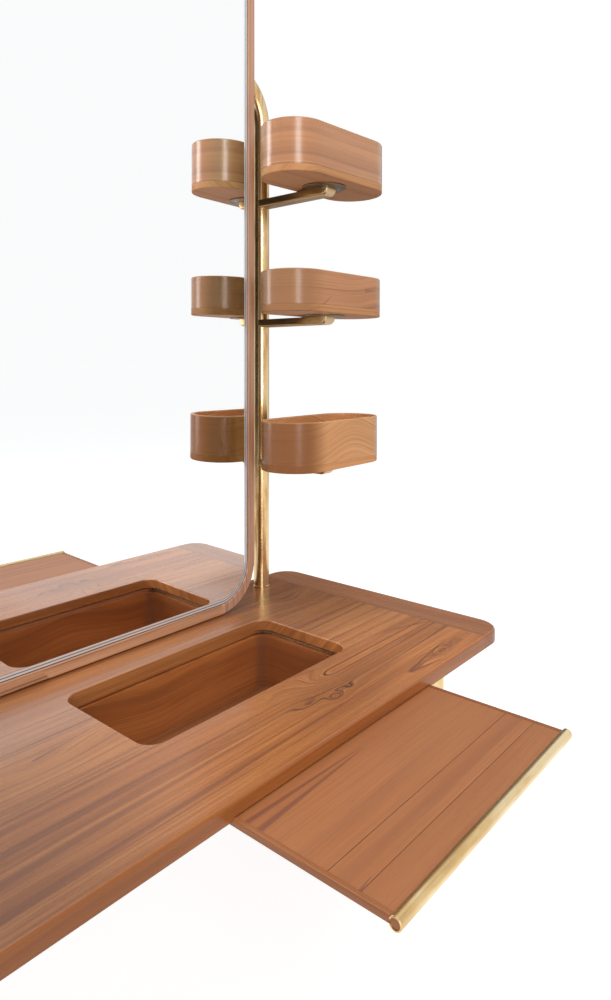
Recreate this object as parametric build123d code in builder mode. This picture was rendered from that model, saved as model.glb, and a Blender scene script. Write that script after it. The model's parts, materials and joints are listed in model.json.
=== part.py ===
from build123d import *
import os
from math import cos, radians, sin

# Vanity table: teak top with a lined well and a slide tray, brass posts that carry
# a tall mirror, and three swivel boxes on arms. Millimetres, +Z up, floor at Z = 0.
# Sizes below are measured from the middle of the tabletop; the finished frame has
# its origin on the floor, in the middle of the whole outline.

# Tabletop
table_length = 1210.0
table_depth = 490.0
table_height = 380.0
top_thickness = 22.0
top_corner_radius = 40.0
top_edge_radius = 4.0
under_edge_radius = 3.0

# Well in the top and its liner
well_x = 177.0
well_y = -11.5
well_length = 375.0
well_width = 186.0
well_corner_radius = 24.0
well_edge_radius = 2.0
well_drop = 110.0
liner_step = 3.0
liner_wall = 10.0
liner_floor = 9.0

# Slide tray
tray_overlap = 4.0
tray_drop = 2.5
tray_pull_out = 191.5
panel_thickness = 6.0
lip_width = 6.0
lip_rise = 1.0
lip_round = 2.0
lip_inner_round = 0.8
front_board_depth = 39.5
middle_board_depth = 37.0
board_chamfer = 0.5
rod_radius = 6.5
rod_wall = 1.5
rod_overhang = 1.0
rod_end_round = 0.7
tongue_thickness = 3.0
tongue_depth = 5.0
slide_gap = 1.0
side_clearance = 0.5
stop_gap = 1.0
back_gap = 0.5
channel_round = 2.5
stop_pin_radius = 1.5
stop_pin_reach = 4.0
stop_pin_seat = 5.0
stop_pin_inset = 12.0

# Runners and rear rail under the top
runner_setback = 52.0
runner_width = 24.0
runner_drop = 40.0
ledge_thickness = 20.0
rear_rail_depth = 20.0
runner_screw_radius = 2.25
runner_screw_head_radius = 4.5
runner_screw_bite = 13.0
runner_screw_inset = 40.0

# Posts, legs and crossbar
tube_radius = 15.0
tube_wall = 1.5
post_inset_x = 117.5
post_inset_back = 43.5
leg_inset_front = 63.0
rail_rise = 988.0
bend_radius = 92.0
elbow_straight = 60.0
spigot_length = 70.0
collar_width = 1.2
collar_height = 4.0
collar_chamfer = 0.5
flange_radius = 36.0
flange_thickness = 5.0
flange_chamfer = 1.0
flange_spigot_length = 30.0
flange_screw_circle = 27.0
flange_screw_count = 3
flange_screw_bite = 12.0
glide_radius = 17.0
glide_height = 7.0
glide_chamfer = 1.5
glide_plug_length = 18.0

# Mirror
mirror_width = 812.0
mirror_height = 1210.0
mirror_lift = 2.0
mirror_front_inset = 106.0
mirror_corner_radius = 80.0
frame_margin = 17.0
frame_depth = 22.0
frame_round = 2.0
scarf_slope = 14.0
glass_recess = 1.0
glass_thickness = 5.0
bevel_width = 9.0
bevel_depth = 1.5
panel_back_thickness = 12.0
saddle_spacing = 440.0
saddle_width = 50.0
saddle_height = 64.0
saddle_round = 4.0
strap_width = 22.0
strap_thickness = 2.0
strap_screw_inset = 10.0
bracket_inset = 156.0
bracket_width = 44.0
bracket_foot = 26.0
bracket_rise = 18.0
bracket_thickness = 3.0
bracket_screw_spacing = 24.0

# Arms, swivels and boxes
arm_width = 28.0
arm_thickness = 14.5
arm_end = 18.5
arm_under_round = 4.0
arm_tip_round = 12.0
pivot_radius = 5.0
pivot_bite = 9.0
pivot_head_radius = 10.0
pivot_head_height = 3.5
pivot_head_round = 1.5
washer_radius = 13.0
washer_thickness = 1.5
bush_wall = 3.0
swivel_radius = 40.0
swivel_thickness = 2.5
swivel_chamfer = 0.6
swivel_screw_circle = 28.0
swivel_screw_count = 3
swivel_screw_radius = 1.75
swivel_screw_head_radius = 3.4
swivel_screw_bite = 7.0
box_length = 268.0
box_width = 118.0
box_wall = 7.0
box_base = 12.0
box_rim_round = 2.2
box_under_round = 1.5
top_box_rise = 753.5
top_box_height = 89.5
top_box_turn = -3.0
top_box_reach = 157.0
middle_box_rise = 522.0
middle_box_height = 71.0
middle_box_turn = -1.0
middle_box_reach = 154.5
lower_box_rise = 252.5
lower_box_height = 84.5
lower_box_turn = 2.2
lower_box_reach = 152.0

# Screws
screw_cone_angle = 90.0
small_screw_radius = 2.0
small_screw_head_radius = 4.0
small_screw_head_height = 2.4
mirror_screw_length = 14.0

# Fits
seat_clearance = 0.05
running_clearance = 0.05
tube_clearance = 0.2

# Worked-out levels and places
underside = table_height - top_thickness
slide_level = underside - tray_drop
lip_height = panel_thickness + lip_rise
floor_level = table_height - well_drop
front_edge = -table_depth / 2
back_edge = table_depth / 2
well_front = well_y - well_width / 2
well_back = well_y + well_width / 2

post_x = table_length / 2 - post_inset_x
post_y = back_edge - post_inset_back
leg_y = front_edge + leg_inset_front
rail_level = table_height + rail_rise
elbow_run = bend_radius + elbow_straight

tray_width = well_length + 2 * tray_overlap
tray_travel = tray_pull_out - rod_radius - stop_gap
tray_back = well_back - back_gap - tray_travel
rod_y = front_edge - tray_pull_out
rod_level = slide_level + panel_thickness / 2
pin_level = underside + stop_pin_radius + side_clearance
pin_rest_y = tray_back - stop_pin_inset
guide_face = tray_width / 2 + side_clearance
channel_height = lip_height - tray_drop + slide_gap
groove_front = pin_rest_y - stop_pin_radius - side_clearance
groove_face = guide_face + stop_pin_reach
groove_height = 2 * (stop_pin_radius + side_clearance)

liner_length = well_length - 2 * liner_step
liner_width = well_width - 2 * liner_step
liner_corner = well_corner_radius - liner_step
liner_outer_length = liner_length + 2 * liner_wall
liner_outer_width = liner_width + 2 * liner_wall
liner_outer_corner = liner_corner + liner_wall

mirror_front = back_edge - mirror_front_inset
mirror_back = mirror_front + frame_depth
mirror_bottom = table_height + mirror_lift
glass_front = mirror_front + glass_recess
panel_front = glass_front + glass_thickness
panel_back = panel_front + panel_back_thickness
glass_width = mirror_width - 2 * frame_margin - 2 * seat_clearance
glass_height = mirror_height - 2 * frame_margin - 2 * seat_clearance
glass_corner = mirror_corner_radius - frame_margin - seat_clearance
mirror_mid = mirror_bottom + mirror_height / 2
bracket_spacing = mirror_width - 2 * bracket_inset

box_core = box_length / 2 - box_width / 2
boxes = (
    ("top", table_height + top_box_rise, top_box_height, top_box_turn, top_box_reach),
    ("middle", table_height + middle_box_rise, middle_box_height, middle_box_turn,
     middle_box_reach),
    ("lower", table_height + lower_box_rise, lower_box_height, lower_box_turn,
     lower_box_reach),
)
box_half_span = box_width / 2 + box_core * max(cos(radians(box[3])) for box in boxes)

# Middle of the whole outline, seen from above
x_mid = (max(post_x + box_half_span, table_length / 2) - table_length / 2) / 2
y_mid = (back_edge + rod_y - rod_radius) / 2

post_spots = ((post_x, post_y), (-post_x, post_y))
leg_spots = ((post_x, leg_y), (-post_x, leg_y))


# Planes at a place of the tabletop's own frame, named by the way they face
def level(x, y, z):
    return Plane(origin=(x - x_mid, y - y_mid, z))


def facing_down(x, y, z):
    return Plane(origin=(x - x_mid, y - y_mid, z), x_dir=(1, 0, 0), z_dir=(0, 0, -1))


def facing_front(x, y, z):
    return Plane(origin=(x - x_mid, y - y_mid, z), x_dir=(1, 0, 0), z_dir=(0, -1, 0))


def facing_back(x, y, z):
    return Plane(origin=(x - x_mid, y - y_mid, z), x_dir=(-1, 0, 0), z_dir=(0, 1, 0))


def facing_side(side, x, y, z):
    return Plane(origin=(x - x_mid, y - y_mid, z), x_dir=(0, side, 0), z_dir=(side, 0, 0))


def save(piece, node):
    piece.part.label = node
    export_step(piece.part, f"parts/{node}.step")


def pan_screws(places, length):
    # Heads stand on the places, shanks go in against the way the places face
    with BuildPart() as screws:
        with Locations(*places):
            Cylinder(small_screw_radius, length, align=(Align.CENTER, Align.CENTER, Align.MAX))
            Cylinder(small_screw_head_radius, small_screw_head_height,
                     align=(Align.CENTER, Align.CENTER, Align.MIN))
    return screws


os.makedirs("parts", exist_ok=True)

# Places of the screws, shared by the screws and by their holes
flange_face = underside - flange_thickness
flange_spots = [
    (x + flange_screw_circle * cos(radians(90 + 360 * step / flange_screw_count)),
     y + flange_screw_circle * sin(radians(90 + 360 * step / flange_screw_count)))
    for x, y in post_spots + leg_spots
    for step in range(flange_screw_count)
]
flange_screw_places = [facing_down(x, y, flange_face) for x, y in flange_spots]

runner_inner = liner_outer_length / 2
runner_outer = guide_face + runner_width
runner_front = front_edge + runner_setback
runner_back = well_y + liner_outer_width / 2
runner_middle = (runner_inner + runner_outer) / 2
runner_level = underside - runner_drop
runner_screw_rows = (
    runner_front + runner_screw_inset,
    (runner_front + runner_back) / 2,
    runner_back - runner_screw_inset,
)
runner_spots = [(well_x + side * runner_middle, y) for side in (-1, 1) for y in runner_screw_rows]
rail_spots = [
    (well_x + side * (runner_inner - runner_screw_inset), runner_back + rear_rail_depth / 2)
    for side in (-1, 1)
]
runner_screw_places = [facing_down(x, y, runner_level) for x, y in runner_spots + rail_spots]

bracket_spots = [
    (side * bracket_spacing / 2 + step * bracket_screw_spacing / 2)
    for side in (-1, 1)
    for step in (-1, 1)
]
bracket_foot_y = mirror_back + (bracket_thickness + bracket_foot) / 2
bracket_rail_z = mirror_bottom + frame_margin / 2
bracket_top_places = [
    level(x, bracket_foot_y, table_height + bracket_thickness) for x in bracket_spots
]
bracket_rail_places = [
    facing_back(x, mirror_back + bracket_thickness, bracket_rail_z) for x in bracket_spots
]
strap_places = [
    facing_back(side * saddle_spacing / 2, post_y + strap_thickness,
                rail_level + end * (saddle_height / 2 - strap_screw_inset))
    for side in (-1, 1)
    for end in (-1, 1)
]

# Tabletop: one glued-up panel with the well and the two post holes through it. The tray
# runs in a channel in its underside, with side grooves for the tray's stop pins
with BuildPart() as tabletop:
    with BuildSketch(level(0, 0, underside)):
        RectangleRounded(table_length, table_depth, top_corner_radius)
        with Locations((well_x, well_y)):
            RectangleRounded(well_length, well_width, well_corner_radius, mode=Mode.SUBTRACT)
        with Locations(*post_spots):
            Circle(tube_radius + tube_clearance, mode=Mode.SUBTRACT)
    extrude(amount=top_thickness)
    upper = tabletop.faces().sort_by(Axis.Z)[-1]
    fillet(upper.outer_wire().edges(), top_edge_radius)
    upper = tabletop.faces().sort_by(Axis.Z)[-1]
    well_rim = upper.inner_wires().sort_by(SortBy.LENGTH)[-1]
    fillet(well_rim.edges(), well_edge_radius)
    lower = tabletop.faces().sort_by(Axis.Z)[0]
    fillet(lower.outer_wire().edges(), under_edge_radius)
    with BuildSketch(facing_front(well_x, front_edge, underside)) as channel:
        Rectangle(2 * guide_face, channel_height, align=(Align.CENTER, Align.MIN))
        fillet(channel.vertices().group_by(Axis.Y)[-1], channel_round)
    extrude(amount=-(well_back - front_edge), mode=Mode.SUBTRACT)
    with BuildSketch(facing_front(well_x, groove_front, underside)):
        Rectangle(2 * groove_face, groove_height, align=(Align.CENTER, Align.MIN))
    extrude(amount=-(well_back - groove_front), mode=Mode.SUBTRACT)
    with Locations(*flange_screw_places):
        Hole(small_screw_radius + seat_clearance, flange_thickness + flange_screw_bite)
    with Locations(*runner_screw_places):
        Hole(runner_screw_radius + seat_clearance, runner_drop + runner_screw_bite)
    with Locations(*bracket_top_places):
        Hole(small_screw_radius + seat_clearance, mirror_screw_length)
save(tabletop, "tabletop")

# Well liner: a wall ring with round corners, standing on its floor panel
with BuildPart() as liner_walls:
    with BuildSketch(level(well_x, well_y, floor_level)):
        RectangleRounded(liner_outer_length, liner_outer_width, liner_outer_corner)
        RectangleRounded(liner_length, liner_width, liner_corner, mode=Mode.SUBTRACT)
    extrude(amount=slide_level - floor_level)
save(liner_walls, "well_liner_walls")

with BuildPart() as liner_panel:
    with BuildSketch(level(well_x, well_y, floor_level - liner_floor)):
        RectangleRounded(liner_outer_length, liner_outer_width, liner_outer_corner)
    extrude(amount=liner_floor)
save(liner_panel, "well_liner_floor")

# Runners: bars that close the pin grooves from below, each with a ledge that carries
# the tray in front of the liner
with BuildPart() as runner_right:
    with BuildSketch(level(well_x, runner_front, runner_level)):
        with Locations((runner_inner, 0)):
            Rectangle(runner_outer - runner_inner, runner_back - runner_front,
                      align=(Align.MIN, Align.MIN))
    extrude(amount=runner_drop)
    with BuildSketch(level(well_x, runner_front, slide_level - ledge_thickness)):
        with Locations((liner_length / 2, 0)):
            Rectangle(liner_wall, well_front + liner_step - liner_wall - runner_front,
                      align=(Align.MIN, Align.MIN))
    extrude(amount=ledge_thickness)
    with Locations(*runner_screw_places[len(runner_screw_rows):2 * len(runner_screw_rows)]):
        CounterSinkHole(runner_screw_radius + seat_clearance,
                        runner_screw_head_radius + seat_clearance, runner_drop,
                        counter_sink_angle=screw_cone_angle)
save(runner_right, "runner_right")

with BuildPart() as runner_left:
    mirror(runner_right.part, about=Plane.YZ.offset(well_x - x_mid))
save(runner_left, "runner_left")

with BuildPart() as rear_rail:
    with BuildSketch(level(well_x, runner_back, runner_level)):
        Rectangle(2 * runner_outer, rear_rail_depth, align=(Align.CENTER, Align.MIN))
    extrude(amount=runner_drop)
    with Locations(*runner_screw_places[2 * len(runner_screw_rows):]):
        CounterSinkHole(runner_screw_radius + seat_clearance,
                        runner_screw_head_radius + seat_clearance, runner_drop,
                        counter_sink_angle=screw_cone_angle)
save(rear_rail, "rear_rail")

with BuildPart() as runner_screws:
    with Locations(*runner_screw_places):
        Cone(runner_screw_radius, runner_screw_head_radius,
             runner_screw_head_radius - runner_screw_radius,
             align=(Align.CENTER, Align.CENTER, Align.MAX))
        Cylinder(runner_screw_radius, runner_drop + runner_screw_bite,
                 align=(Align.CENTER, Align.CENTER, Align.MAX))
save(runner_screws, "runner_screws")


# Posts: one tube from the foot through the top, bent in behind the mirror
def bent_post(side):
    with BuildPart() as post:
        with BuildLine(facing_front(side * post_x, post_y, glide_height)):
            FilletPolyline(
                (0, 0),
                (0, rail_level - glide_height),
                (-side * elbow_run, rail_level - glide_height),
                radius=bend_radius,
            )
        with BuildSketch(level(side * post_x, post_y, glide_height)):
            Circle(tube_radius)
            Circle(tube_radius - tube_wall, mode=Mode.SUBTRACT)
        sweep()
    return post


save(bent_post(1), "right_post")
save(bent_post(-1), "left_post")

joint_x = post_x - elbow_run
with BuildPart() as crossbar:
    with BuildSketch(facing_side(1, -joint_x, post_y, rail_level)):
        Circle(tube_radius)
        Circle(tube_radius - tube_wall, mode=Mode.SUBTRACT)
    extrude(amount=2 * joint_x)
save(crossbar, "crossbar")

with BuildPart() as crossbar_spigots:
    with Locations(*[facing_side(1, side * joint_x, post_y, rail_level) for side in (-1, 1)]):
        Cylinder(tube_radius - tube_wall - seat_clearance, spigot_length)
save(crossbar_spigots, "crossbar_spigots")

with BuildPart() as post_collars:
    with BuildSketch(level(0, 0, table_height)):
        with Locations(*post_spots):
            Circle(tube_radius + collar_width)
            Circle(tube_radius + seat_clearance, mode=Mode.SUBTRACT)
    extrude(amount=collar_height)
    rims = post_collars.faces().group_by(Axis.Z)[-1]
    chamfer([face.outer_wire().edge() for face in rims], collar_chamfer)
save(post_collars, "post_collars")

with BuildPart() as rear_flanges:
    with BuildSketch(level(0, 0, flange_face)):
        with Locations(*post_spots):
            Circle(flange_radius)
            Circle(tube_radius + seat_clearance, mode=Mode.SUBTRACT)
    extrude(amount=flange_thickness)
    rims = rear_flanges.faces().group_by(Axis.Z)[0]
    chamfer([face.outer_wire().edge() for face in rims], flange_chamfer)
    with Locations(*flange_screw_places[:2 * flange_screw_count]):
        Hole(small_screw_radius + seat_clearance, flange_thickness)
save(rear_flanges, "rear_flanges")


# Front legs: plain tubes on the spigots of their flanges
def front_leg(side):
    with BuildPart() as leg:
        with BuildSketch(level(side * post_x, leg_y, glide_height)):
            Circle(tube_radius)
            Circle(tube_radius - tube_wall, mode=Mode.SUBTRACT)
        extrude(amount=flange_face - glide_height)
    return leg


save(front_leg(1), "front_leg_right")
save(front_leg(-1), "front_leg_left")

with BuildPart() as front_flanges:
    with BuildSketch(level(0, 0, flange_face)):
        with Locations(*leg_spots):
            Circle(flange_radius)
    extrude(amount=flange_thickness)
    chamfer(front_flanges.faces().group_by(Axis.Z)[0].edges(), flange_chamfer)
    with BuildSketch(level(0, 0, flange_face)):
        with Locations(*leg_spots):
            Circle(tube_radius - tube_wall - seat_clearance)
    extrude(amount=-flange_spigot_length)
    with Locations(*flange_screw_places[2 * flange_screw_count:]):
        Hole(small_screw_radius + seat_clearance, flange_thickness)
save(front_flanges, "front_flanges")

save(pan_screws(flange_screw_places, flange_thickness + flange_screw_bite), "flange_screws")

with BuildPart() as foot_glides:
    with BuildSketch(level(0, 0, 0)):
        with Locations(*post_spots, *leg_spots):
            Circle(glide_radius)
    extrude(amount=glide_height)
    chamfer(foot_glides.faces().group_by(Axis.Z)[0].edges(), glide_chamfer)
    with BuildSketch(level(0, 0, glide_height)):
        with Locations(*post_spots, *leg_spots):
            Circle(tube_radius - tube_wall - seat_clearance)
    extrude(amount=glide_plug_length)
save(foot_glides, "foot_glides")

# Mirror frame: straight stiles and rails joined by four round corner blocks
half_width = mirror_width / 2
half_height = mirror_height / 2
corner_x = half_width - mirror_corner_radius
corner_z = half_height - mirror_corner_radius
mirror_plane = facing_front(0, mirror_front, mirror_mid)


# Rounds the front arrises of a frame piece that run along its length
def round_front(piece, runs):
    front = piece.faces().sort_by(Axis.Y)[0]
    fillet(runs(front.edges()), frame_round)


def frame_stile(side):
    with BuildPart() as stile:
        with BuildSketch(mirror_plane):
            with Locations((side * (half_width - frame_margin / 2), 0)):
                Rectangle(frame_margin, 2 * corner_z)
        extrude(amount=-frame_depth)
        round_front(stile, lambda edges: edges.filter_by(Axis.Z))
    return stile


save(frame_stile(-1), "mirror_stile_left")
save(frame_stile(1), "mirror_stile_right")


# Half a rail, from a corner block to the scarf joint in the middle
def frame_half_rail(side, end):
    outer = end * half_height
    inner = end * (half_height - frame_margin)
    with BuildPart() as rail:
        with BuildSketch(mirror_plane):
            with BuildLine():
                Polyline(
                    (side * corner_x, outer),
                    (scarf_slope / 2, outer),
                    (-scarf_slope / 2, inner),
                    (side * corner_x, inner),
                    close=True,
                )
            make_face()
        extrude(amount=-frame_depth)
        round_front(rail, lambda edges: edges.filter_by(Axis.X))
        if end < 0:
            with Locations(*bracket_rail_places):
                Hole(small_screw_radius + seat_clearance, mirror_screw_length)
    return rail


save(frame_half_rail(-1, -1), "mirror_rail_bottom_left")
save(frame_half_rail(1, -1), "mirror_rail_bottom_right")
save(frame_half_rail(-1, 1), "mirror_rail_top_left")
save(frame_half_rail(1, 1), "mirror_rail_top_right")

with BuildPart() as corner_blocks:
    with BuildSketch(mirror_plane):
        RectangleRounded(mirror_width, mirror_height, mirror_corner_radius)
        RectangleRounded(mirror_width - 2 * frame_margin, mirror_height - 2 * frame_margin,
                         mirror_corner_radius - frame_margin, mode=Mode.SUBTRACT)
        Rectangle(mirror_width, 2 * corner_z, mode=Mode.SUBTRACT)
        Rectangle(2 * corner_x, mirror_height, mode=Mode.SUBTRACT)
    extrude(amount=-frame_depth)
    fronts = corner_blocks.faces().group_by(Axis.Y)[0]
    fillet(fronts.edges().filter_by(GeomType.CIRCLE), frame_round)
save(corner_blocks, "mirror_corner_blocks")

with BuildPart() as back_panel:
    with BuildSketch(facing_front(0, panel_back, mirror_mid)):
        RectangleRounded(glass_width, glass_height, glass_corner)
    extrude(amount=panel_back_thickness)
save(back_panel, "mirror_back_panel")

# Glass with a wide shallow bevel all round its front
with BuildPart() as glass:
    with BuildSketch(facing_front(0, panel_front, mirror_mid)):
        RectangleRounded(glass_width, glass_height, glass_corner)
    extrude(amount=glass_thickness - bevel_depth)
    with BuildSketch(facing_front(0, glass_front + bevel_depth, mirror_mid)):
        RectangleRounded(glass_width, glass_height, glass_corner)
    with BuildSketch(facing_front(0, glass_front, mirror_mid)):
        RectangleRounded(glass_width - 2 * bevel_width, glass_height - 2 * bevel_width,
                         glass_corner - bevel_width)
    loft(ruled=True)
save(glass, "mirror_glass")

# Saddles between the panel and the crossbar, with a half-round seat for the tube
with BuildPart() as saddles:
    saddle_spots = [(side * saddle_spacing / 2, 0) for side in (-1, 1)]
    with BuildSketch(facing_back(0, panel_back, rail_level)):
        with Locations(*saddle_spots):
            RectangleRounded(saddle_width, saddle_height, saddle_round)
    extrude(amount=post_y - panel_back)
    with Locations(facing_side(1, 0, post_y, rail_level)):
        Cylinder(tube_radius + seat_clearance, saddle_spacing + 2 * saddle_width,
                 mode=Mode.SUBTRACT)
    with Locations(*strap_places):
        Hole(small_screw_radius + seat_clearance, mirror_screw_length)
save(saddles, "mirror_saddles")

with BuildPart() as straps:
    strap_edges = [side * saddle_spacing / 2 - strap_width / 2 for side in (-1, 1)]
    for edge in strap_edges:
        with BuildSketch(facing_side(1, edge, post_y, rail_level)):
            Circle(tube_radius + seat_clearance + strap_thickness)
            Rectangle(strap_thickness, saddle_height, align=(Align.MIN, Align.CENTER))
            Circle(tube_radius + seat_clearance, mode=Mode.SUBTRACT)
            Rectangle(2 * flange_radius, 2 * saddle_height, align=(Align.MAX, Align.CENTER),
                      mode=Mode.SUBTRACT)
        extrude(amount=strap_width)
    with Locations(*strap_places):
        Hole(small_screw_radius + seat_clearance, strap_thickness)
save(straps, "mirror_straps")

with BuildPart() as foot_brackets:
    for side in (-1, 1):
        corner = side * bracket_spacing / 2 - bracket_width / 2
        with BuildSketch(facing_side(1, corner, mirror_back, table_height)):
            Rectangle(bracket_foot, bracket_thickness, align=(Align.MIN, Align.MIN))
            Rectangle(bracket_thickness, bracket_rise, align=(Align.MIN, Align.MIN))
        extrude(amount=bracket_width)
    with Locations(*bracket_top_places):
        Hole(small_screw_radius + seat_clearance, bracket_thickness)
    with Locations(*bracket_rail_places):
        Hole(small_screw_radius + seat_clearance, bracket_thickness)
save(foot_brackets, "mirror_foot_brackets")

save(pan_screws(strap_places + bracket_top_places + bracket_rail_places, mirror_screw_length),
     "mirror_screws")


# Arms: flat bars that turn up at the tip, with rounded undersides, coped to the post and
# tapped for the pivot
def swivel_arm(arm_top, reach):
    with BuildPart() as arm:
        with BuildSketch(level(post_x, post_y, arm_top - arm_thickness)):
            Rectangle(arm_width, reach + arm_end, align=(Align.CENTER, Align.MAX))
        extrude(amount=arm_thickness)
        tip = arm.faces().sort_by(Axis.Y)[0]
        fillet(tip.edges().sort_by(Axis.Z)[0], arm_tip_round)
        under = arm.faces().sort_by(Axis.Z)[0]
        fillet(under.edges().filter_by(Axis.Y), arm_under_round)
        with Locations(level(post_x, post_y, arm_top)):
            Cylinder(tube_radius + seat_clearance, 3 * arm_thickness, mode=Mode.SUBTRACT)
        with Locations(level(post_x, post_y - reach, arm_top)):
            Hole(pivot_radius + seat_clearance, pivot_bite)
    return arm


# Box wall: a round-ended ring, open at the top, with a soft rim
def box_wall_ring(place, height):
    with BuildPart() as ring:
        with BuildSketch(place.offset(box_base)):
            SlotOverall(box_length, box_width)
            SlotOverall(box_length - 2 * box_wall, box_width - 2 * box_wall, mode=Mode.SUBTRACT)
        extrude(amount=height - box_base)
        fillet(ring.faces().sort_by(Axis.Z)[-1].edges(), box_rim_round)
    return ring


def swivel_screw_planes(place):
    # Points on the underside of the disc, facing down
    planes = []
    for step in range(swivel_screw_count):
        angle = radians(90 + 360 * step / swivel_screw_count)
        spot = place.from_local_coords((swivel_screw_circle * cos(angle),
                                        swivel_screw_circle * sin(angle), -swivel_thickness))
        planes.append(Plane(origin=spot, x_dir=place.x_dir, z_dir=(0, 0, -1)))
    return planes


def box_base_plate(place):
    with BuildPart() as plate:
        with BuildSketch(place):
            SlotOverall(box_length, box_width)
        extrude(amount=box_base)
        fillet(plate.faces().sort_by(Axis.Z)[0].edges(), box_under_round)
        with Locations(place.offset(box_base)):
            Hole(pivot_radius + running_clearance + bush_wall + seat_clearance, box_base)
        with Locations(*swivel_screw_planes(place)):
            Hole(swivel_screw_radius + seat_clearance, swivel_thickness + swivel_screw_bite)
    return plate


def swivel_disc(place):
    with BuildPart() as disc:
        with BuildSketch(place):
            Circle(swivel_radius)
            Circle(pivot_radius + running_clearance + bush_wall + seat_clearance,
                   mode=Mode.SUBTRACT)
        extrude(amount=-swivel_thickness)
        lower_face = disc.faces().sort_by(Axis.Z)[0]
        chamfer(lower_face.outer_wire().edges(), swivel_chamfer)
        with Locations(*swivel_screw_planes(place)):
            CounterSinkHole(swivel_screw_radius + seat_clearance,
                            swivel_screw_head_radius + seat_clearance, swivel_thickness,
                            counter_sink_angle=screw_cone_angle)
    return disc


def swivel_screws(place):
    with BuildPart() as screws:
        with Locations(*swivel_screw_planes(place)):
            Cone(swivel_screw_radius, swivel_screw_head_radius,
                 swivel_screw_head_radius - swivel_screw_radius,
                 align=(Align.CENTER, Align.CENTER, Align.MAX))
            Cylinder(swivel_screw_radius, swivel_thickness + swivel_screw_bite,
                     align=(Align.CENTER, Align.CENTER, Align.MAX))
    return screws


def swivel_bush(place):
    with BuildPart() as bush:
        with BuildSketch(place.offset(-swivel_thickness)):
            Circle(pivot_radius + running_clearance + bush_wall)
            Circle(pivot_radius + running_clearance, mode=Mode.SUBTRACT)
        extrude(amount=swivel_thickness + box_base)
    return bush


bolt_places = []
for name, base_level, height, turn, reach in boxes:
    box_place = Plane(
        origin=(post_x - x_mid, post_y - reach - y_mid, base_level),
        x_dir=(cos(radians(turn)), sin(radians(turn)), 0),
    )
    bolt_places.append(box_place.offset(box_base))
    save(swivel_arm(base_level - swivel_thickness, reach), f"arm_{name}")
    save(box_wall_ring(box_place, height), f"box_{name}_wall")
    save(box_base_plate(box_place), f"box_{name}_base")
    save(swivel_disc(box_place), f"box_{name}_swivel_disc")
    save(swivel_screws(box_place), f"box_{name}_disc_screws")
    save(swivel_bush(box_place), f"box_{name}_bush")

# Pivot bolts: heads inside the boxes, shanks tapped into the arms
with BuildPart() as pivot_bolts:
    with Locations(*[place.offset(washer_thickness) for place in bolt_places]):
        Cylinder(pivot_radius, washer_thickness + box_base + swivel_thickness + pivot_bite,
                 align=(Align.CENTER, Align.CENTER, Align.MAX))
        Cylinder(pivot_head_radius, pivot_head_height,
                 align=(Align.CENTER, Align.CENTER, Align.MIN))
    heads = pivot_bolts.faces().filter_by(Axis.Z).filter_by(lambda face: face.normal_at().Z > 0)
    fillet(heads.edges(), pivot_head_round)
save(pivot_bolts, "pivot_bolts")

with BuildPart() as pivot_washers:
    with BuildSketch(*bolt_places):
        Circle(washer_radius)
        Circle(pivot_radius + seat_clearance, mode=Mode.SUBTRACT)
    extrude(amount=washer_thickness)
save(pivot_washers, "pivot_washers")

# Slide tray: three boards between two raised lips, with a slotted tube as the rod on the
# front tongue. The lips end in round tenons that fill the ends of the tube
board_width = tray_width - 2 * lip_width
middle_front = rod_y + front_board_depth
rear_front = middle_front + middle_board_depth
rod_plane = facing_side(1, well_x, rod_y, rod_level)
pin_planes = {
    side: facing_side(side, well_x + side * tray_width / 2, pin_rest_y, pin_level)
    for side in (-1, 1)
}


def tray_board(front, back):
    with BuildPart() as board:
        with BuildSketch(level(well_x, front, slide_level)):
            Rectangle(board_width, back - front, align=(Align.CENTER, Align.MIN))
        extrude(amount=panel_thickness)
        upper_face = board.faces().sort_by(Axis.Z)[-1]
        chamfer(upper_face.edges().filter_by(Axis.X), board_chamfer)
    return board


save(tray_board(middle_front, rear_front), "tray_board_middle")
save(tray_board(rear_front, tray_back), "tray_board_rear")

with BuildPart() as board_front:
    with BuildSketch(level(well_x, rod_y, slide_level)):
        Rectangle(board_width, front_board_depth, align=(Align.CENTER, Align.MIN))
    extrude(amount=panel_thickness)
    upper_face = board_front.faces().sort_by(Axis.Z)[-1]
    chamfer(upper_face.edges().filter_by(Axis.X).sort_by(Axis.Y)[-1], board_chamfer)
    with Locations(rod_plane):
        Cylinder(rod_radius + seat_clearance, tray_width, mode=Mode.SUBTRACT)
    with BuildSketch(level(well_x, rod_y + rod_radius - tongue_depth, rod_level)):
        Rectangle(board_width, tongue_depth + rod_radius, align=(Align.CENTER, Align.MIN))
    extrude(amount=tongue_thickness / 2, both=True)
save(board_front, "tray_board_front")


def tray_lip(side):
    lip_x = well_x + side * (tray_width - lip_width) / 2
    with BuildPart() as lip:
        with BuildSketch(level(lip_x, rod_y, slide_level)):
            Rectangle(lip_width, tray_back - rod_y, align=(Align.CENTER, Align.MIN))
        extrude(amount=lip_height)
        upper_face = lip.faces().sort_by(Axis.Z)[-1]
        fillet(upper_face.edges().filter_by(Axis.Y).sort_by(Axis.X)[::side][-1], lip_round)
        upper_face = lip.faces().sort_by(Axis.Z)[-1]
        fillet(upper_face.edges().filter_by(Axis.Y).sort_by(Axis.X)[::side][0], lip_inner_round)
        with Locations(rod_plane):
            Cylinder(rod_radius + seat_clearance, 2 * tray_width, mode=Mode.SUBTRACT)
        with BuildSketch(facing_side(1, lip_x, rod_y, rod_level)):
            Circle(rod_radius - rod_wall - seat_clearance)
            Rectangle(2 * rod_radius, tongue_thickness, align=(Align.MIN, Align.CENTER))
        extrude(amount=lip_width / 2, both=True)
        with Locations(pin_planes[side]):
            Hole(stop_pin_radius + seat_clearance, stop_pin_seat)
    return lip


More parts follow.
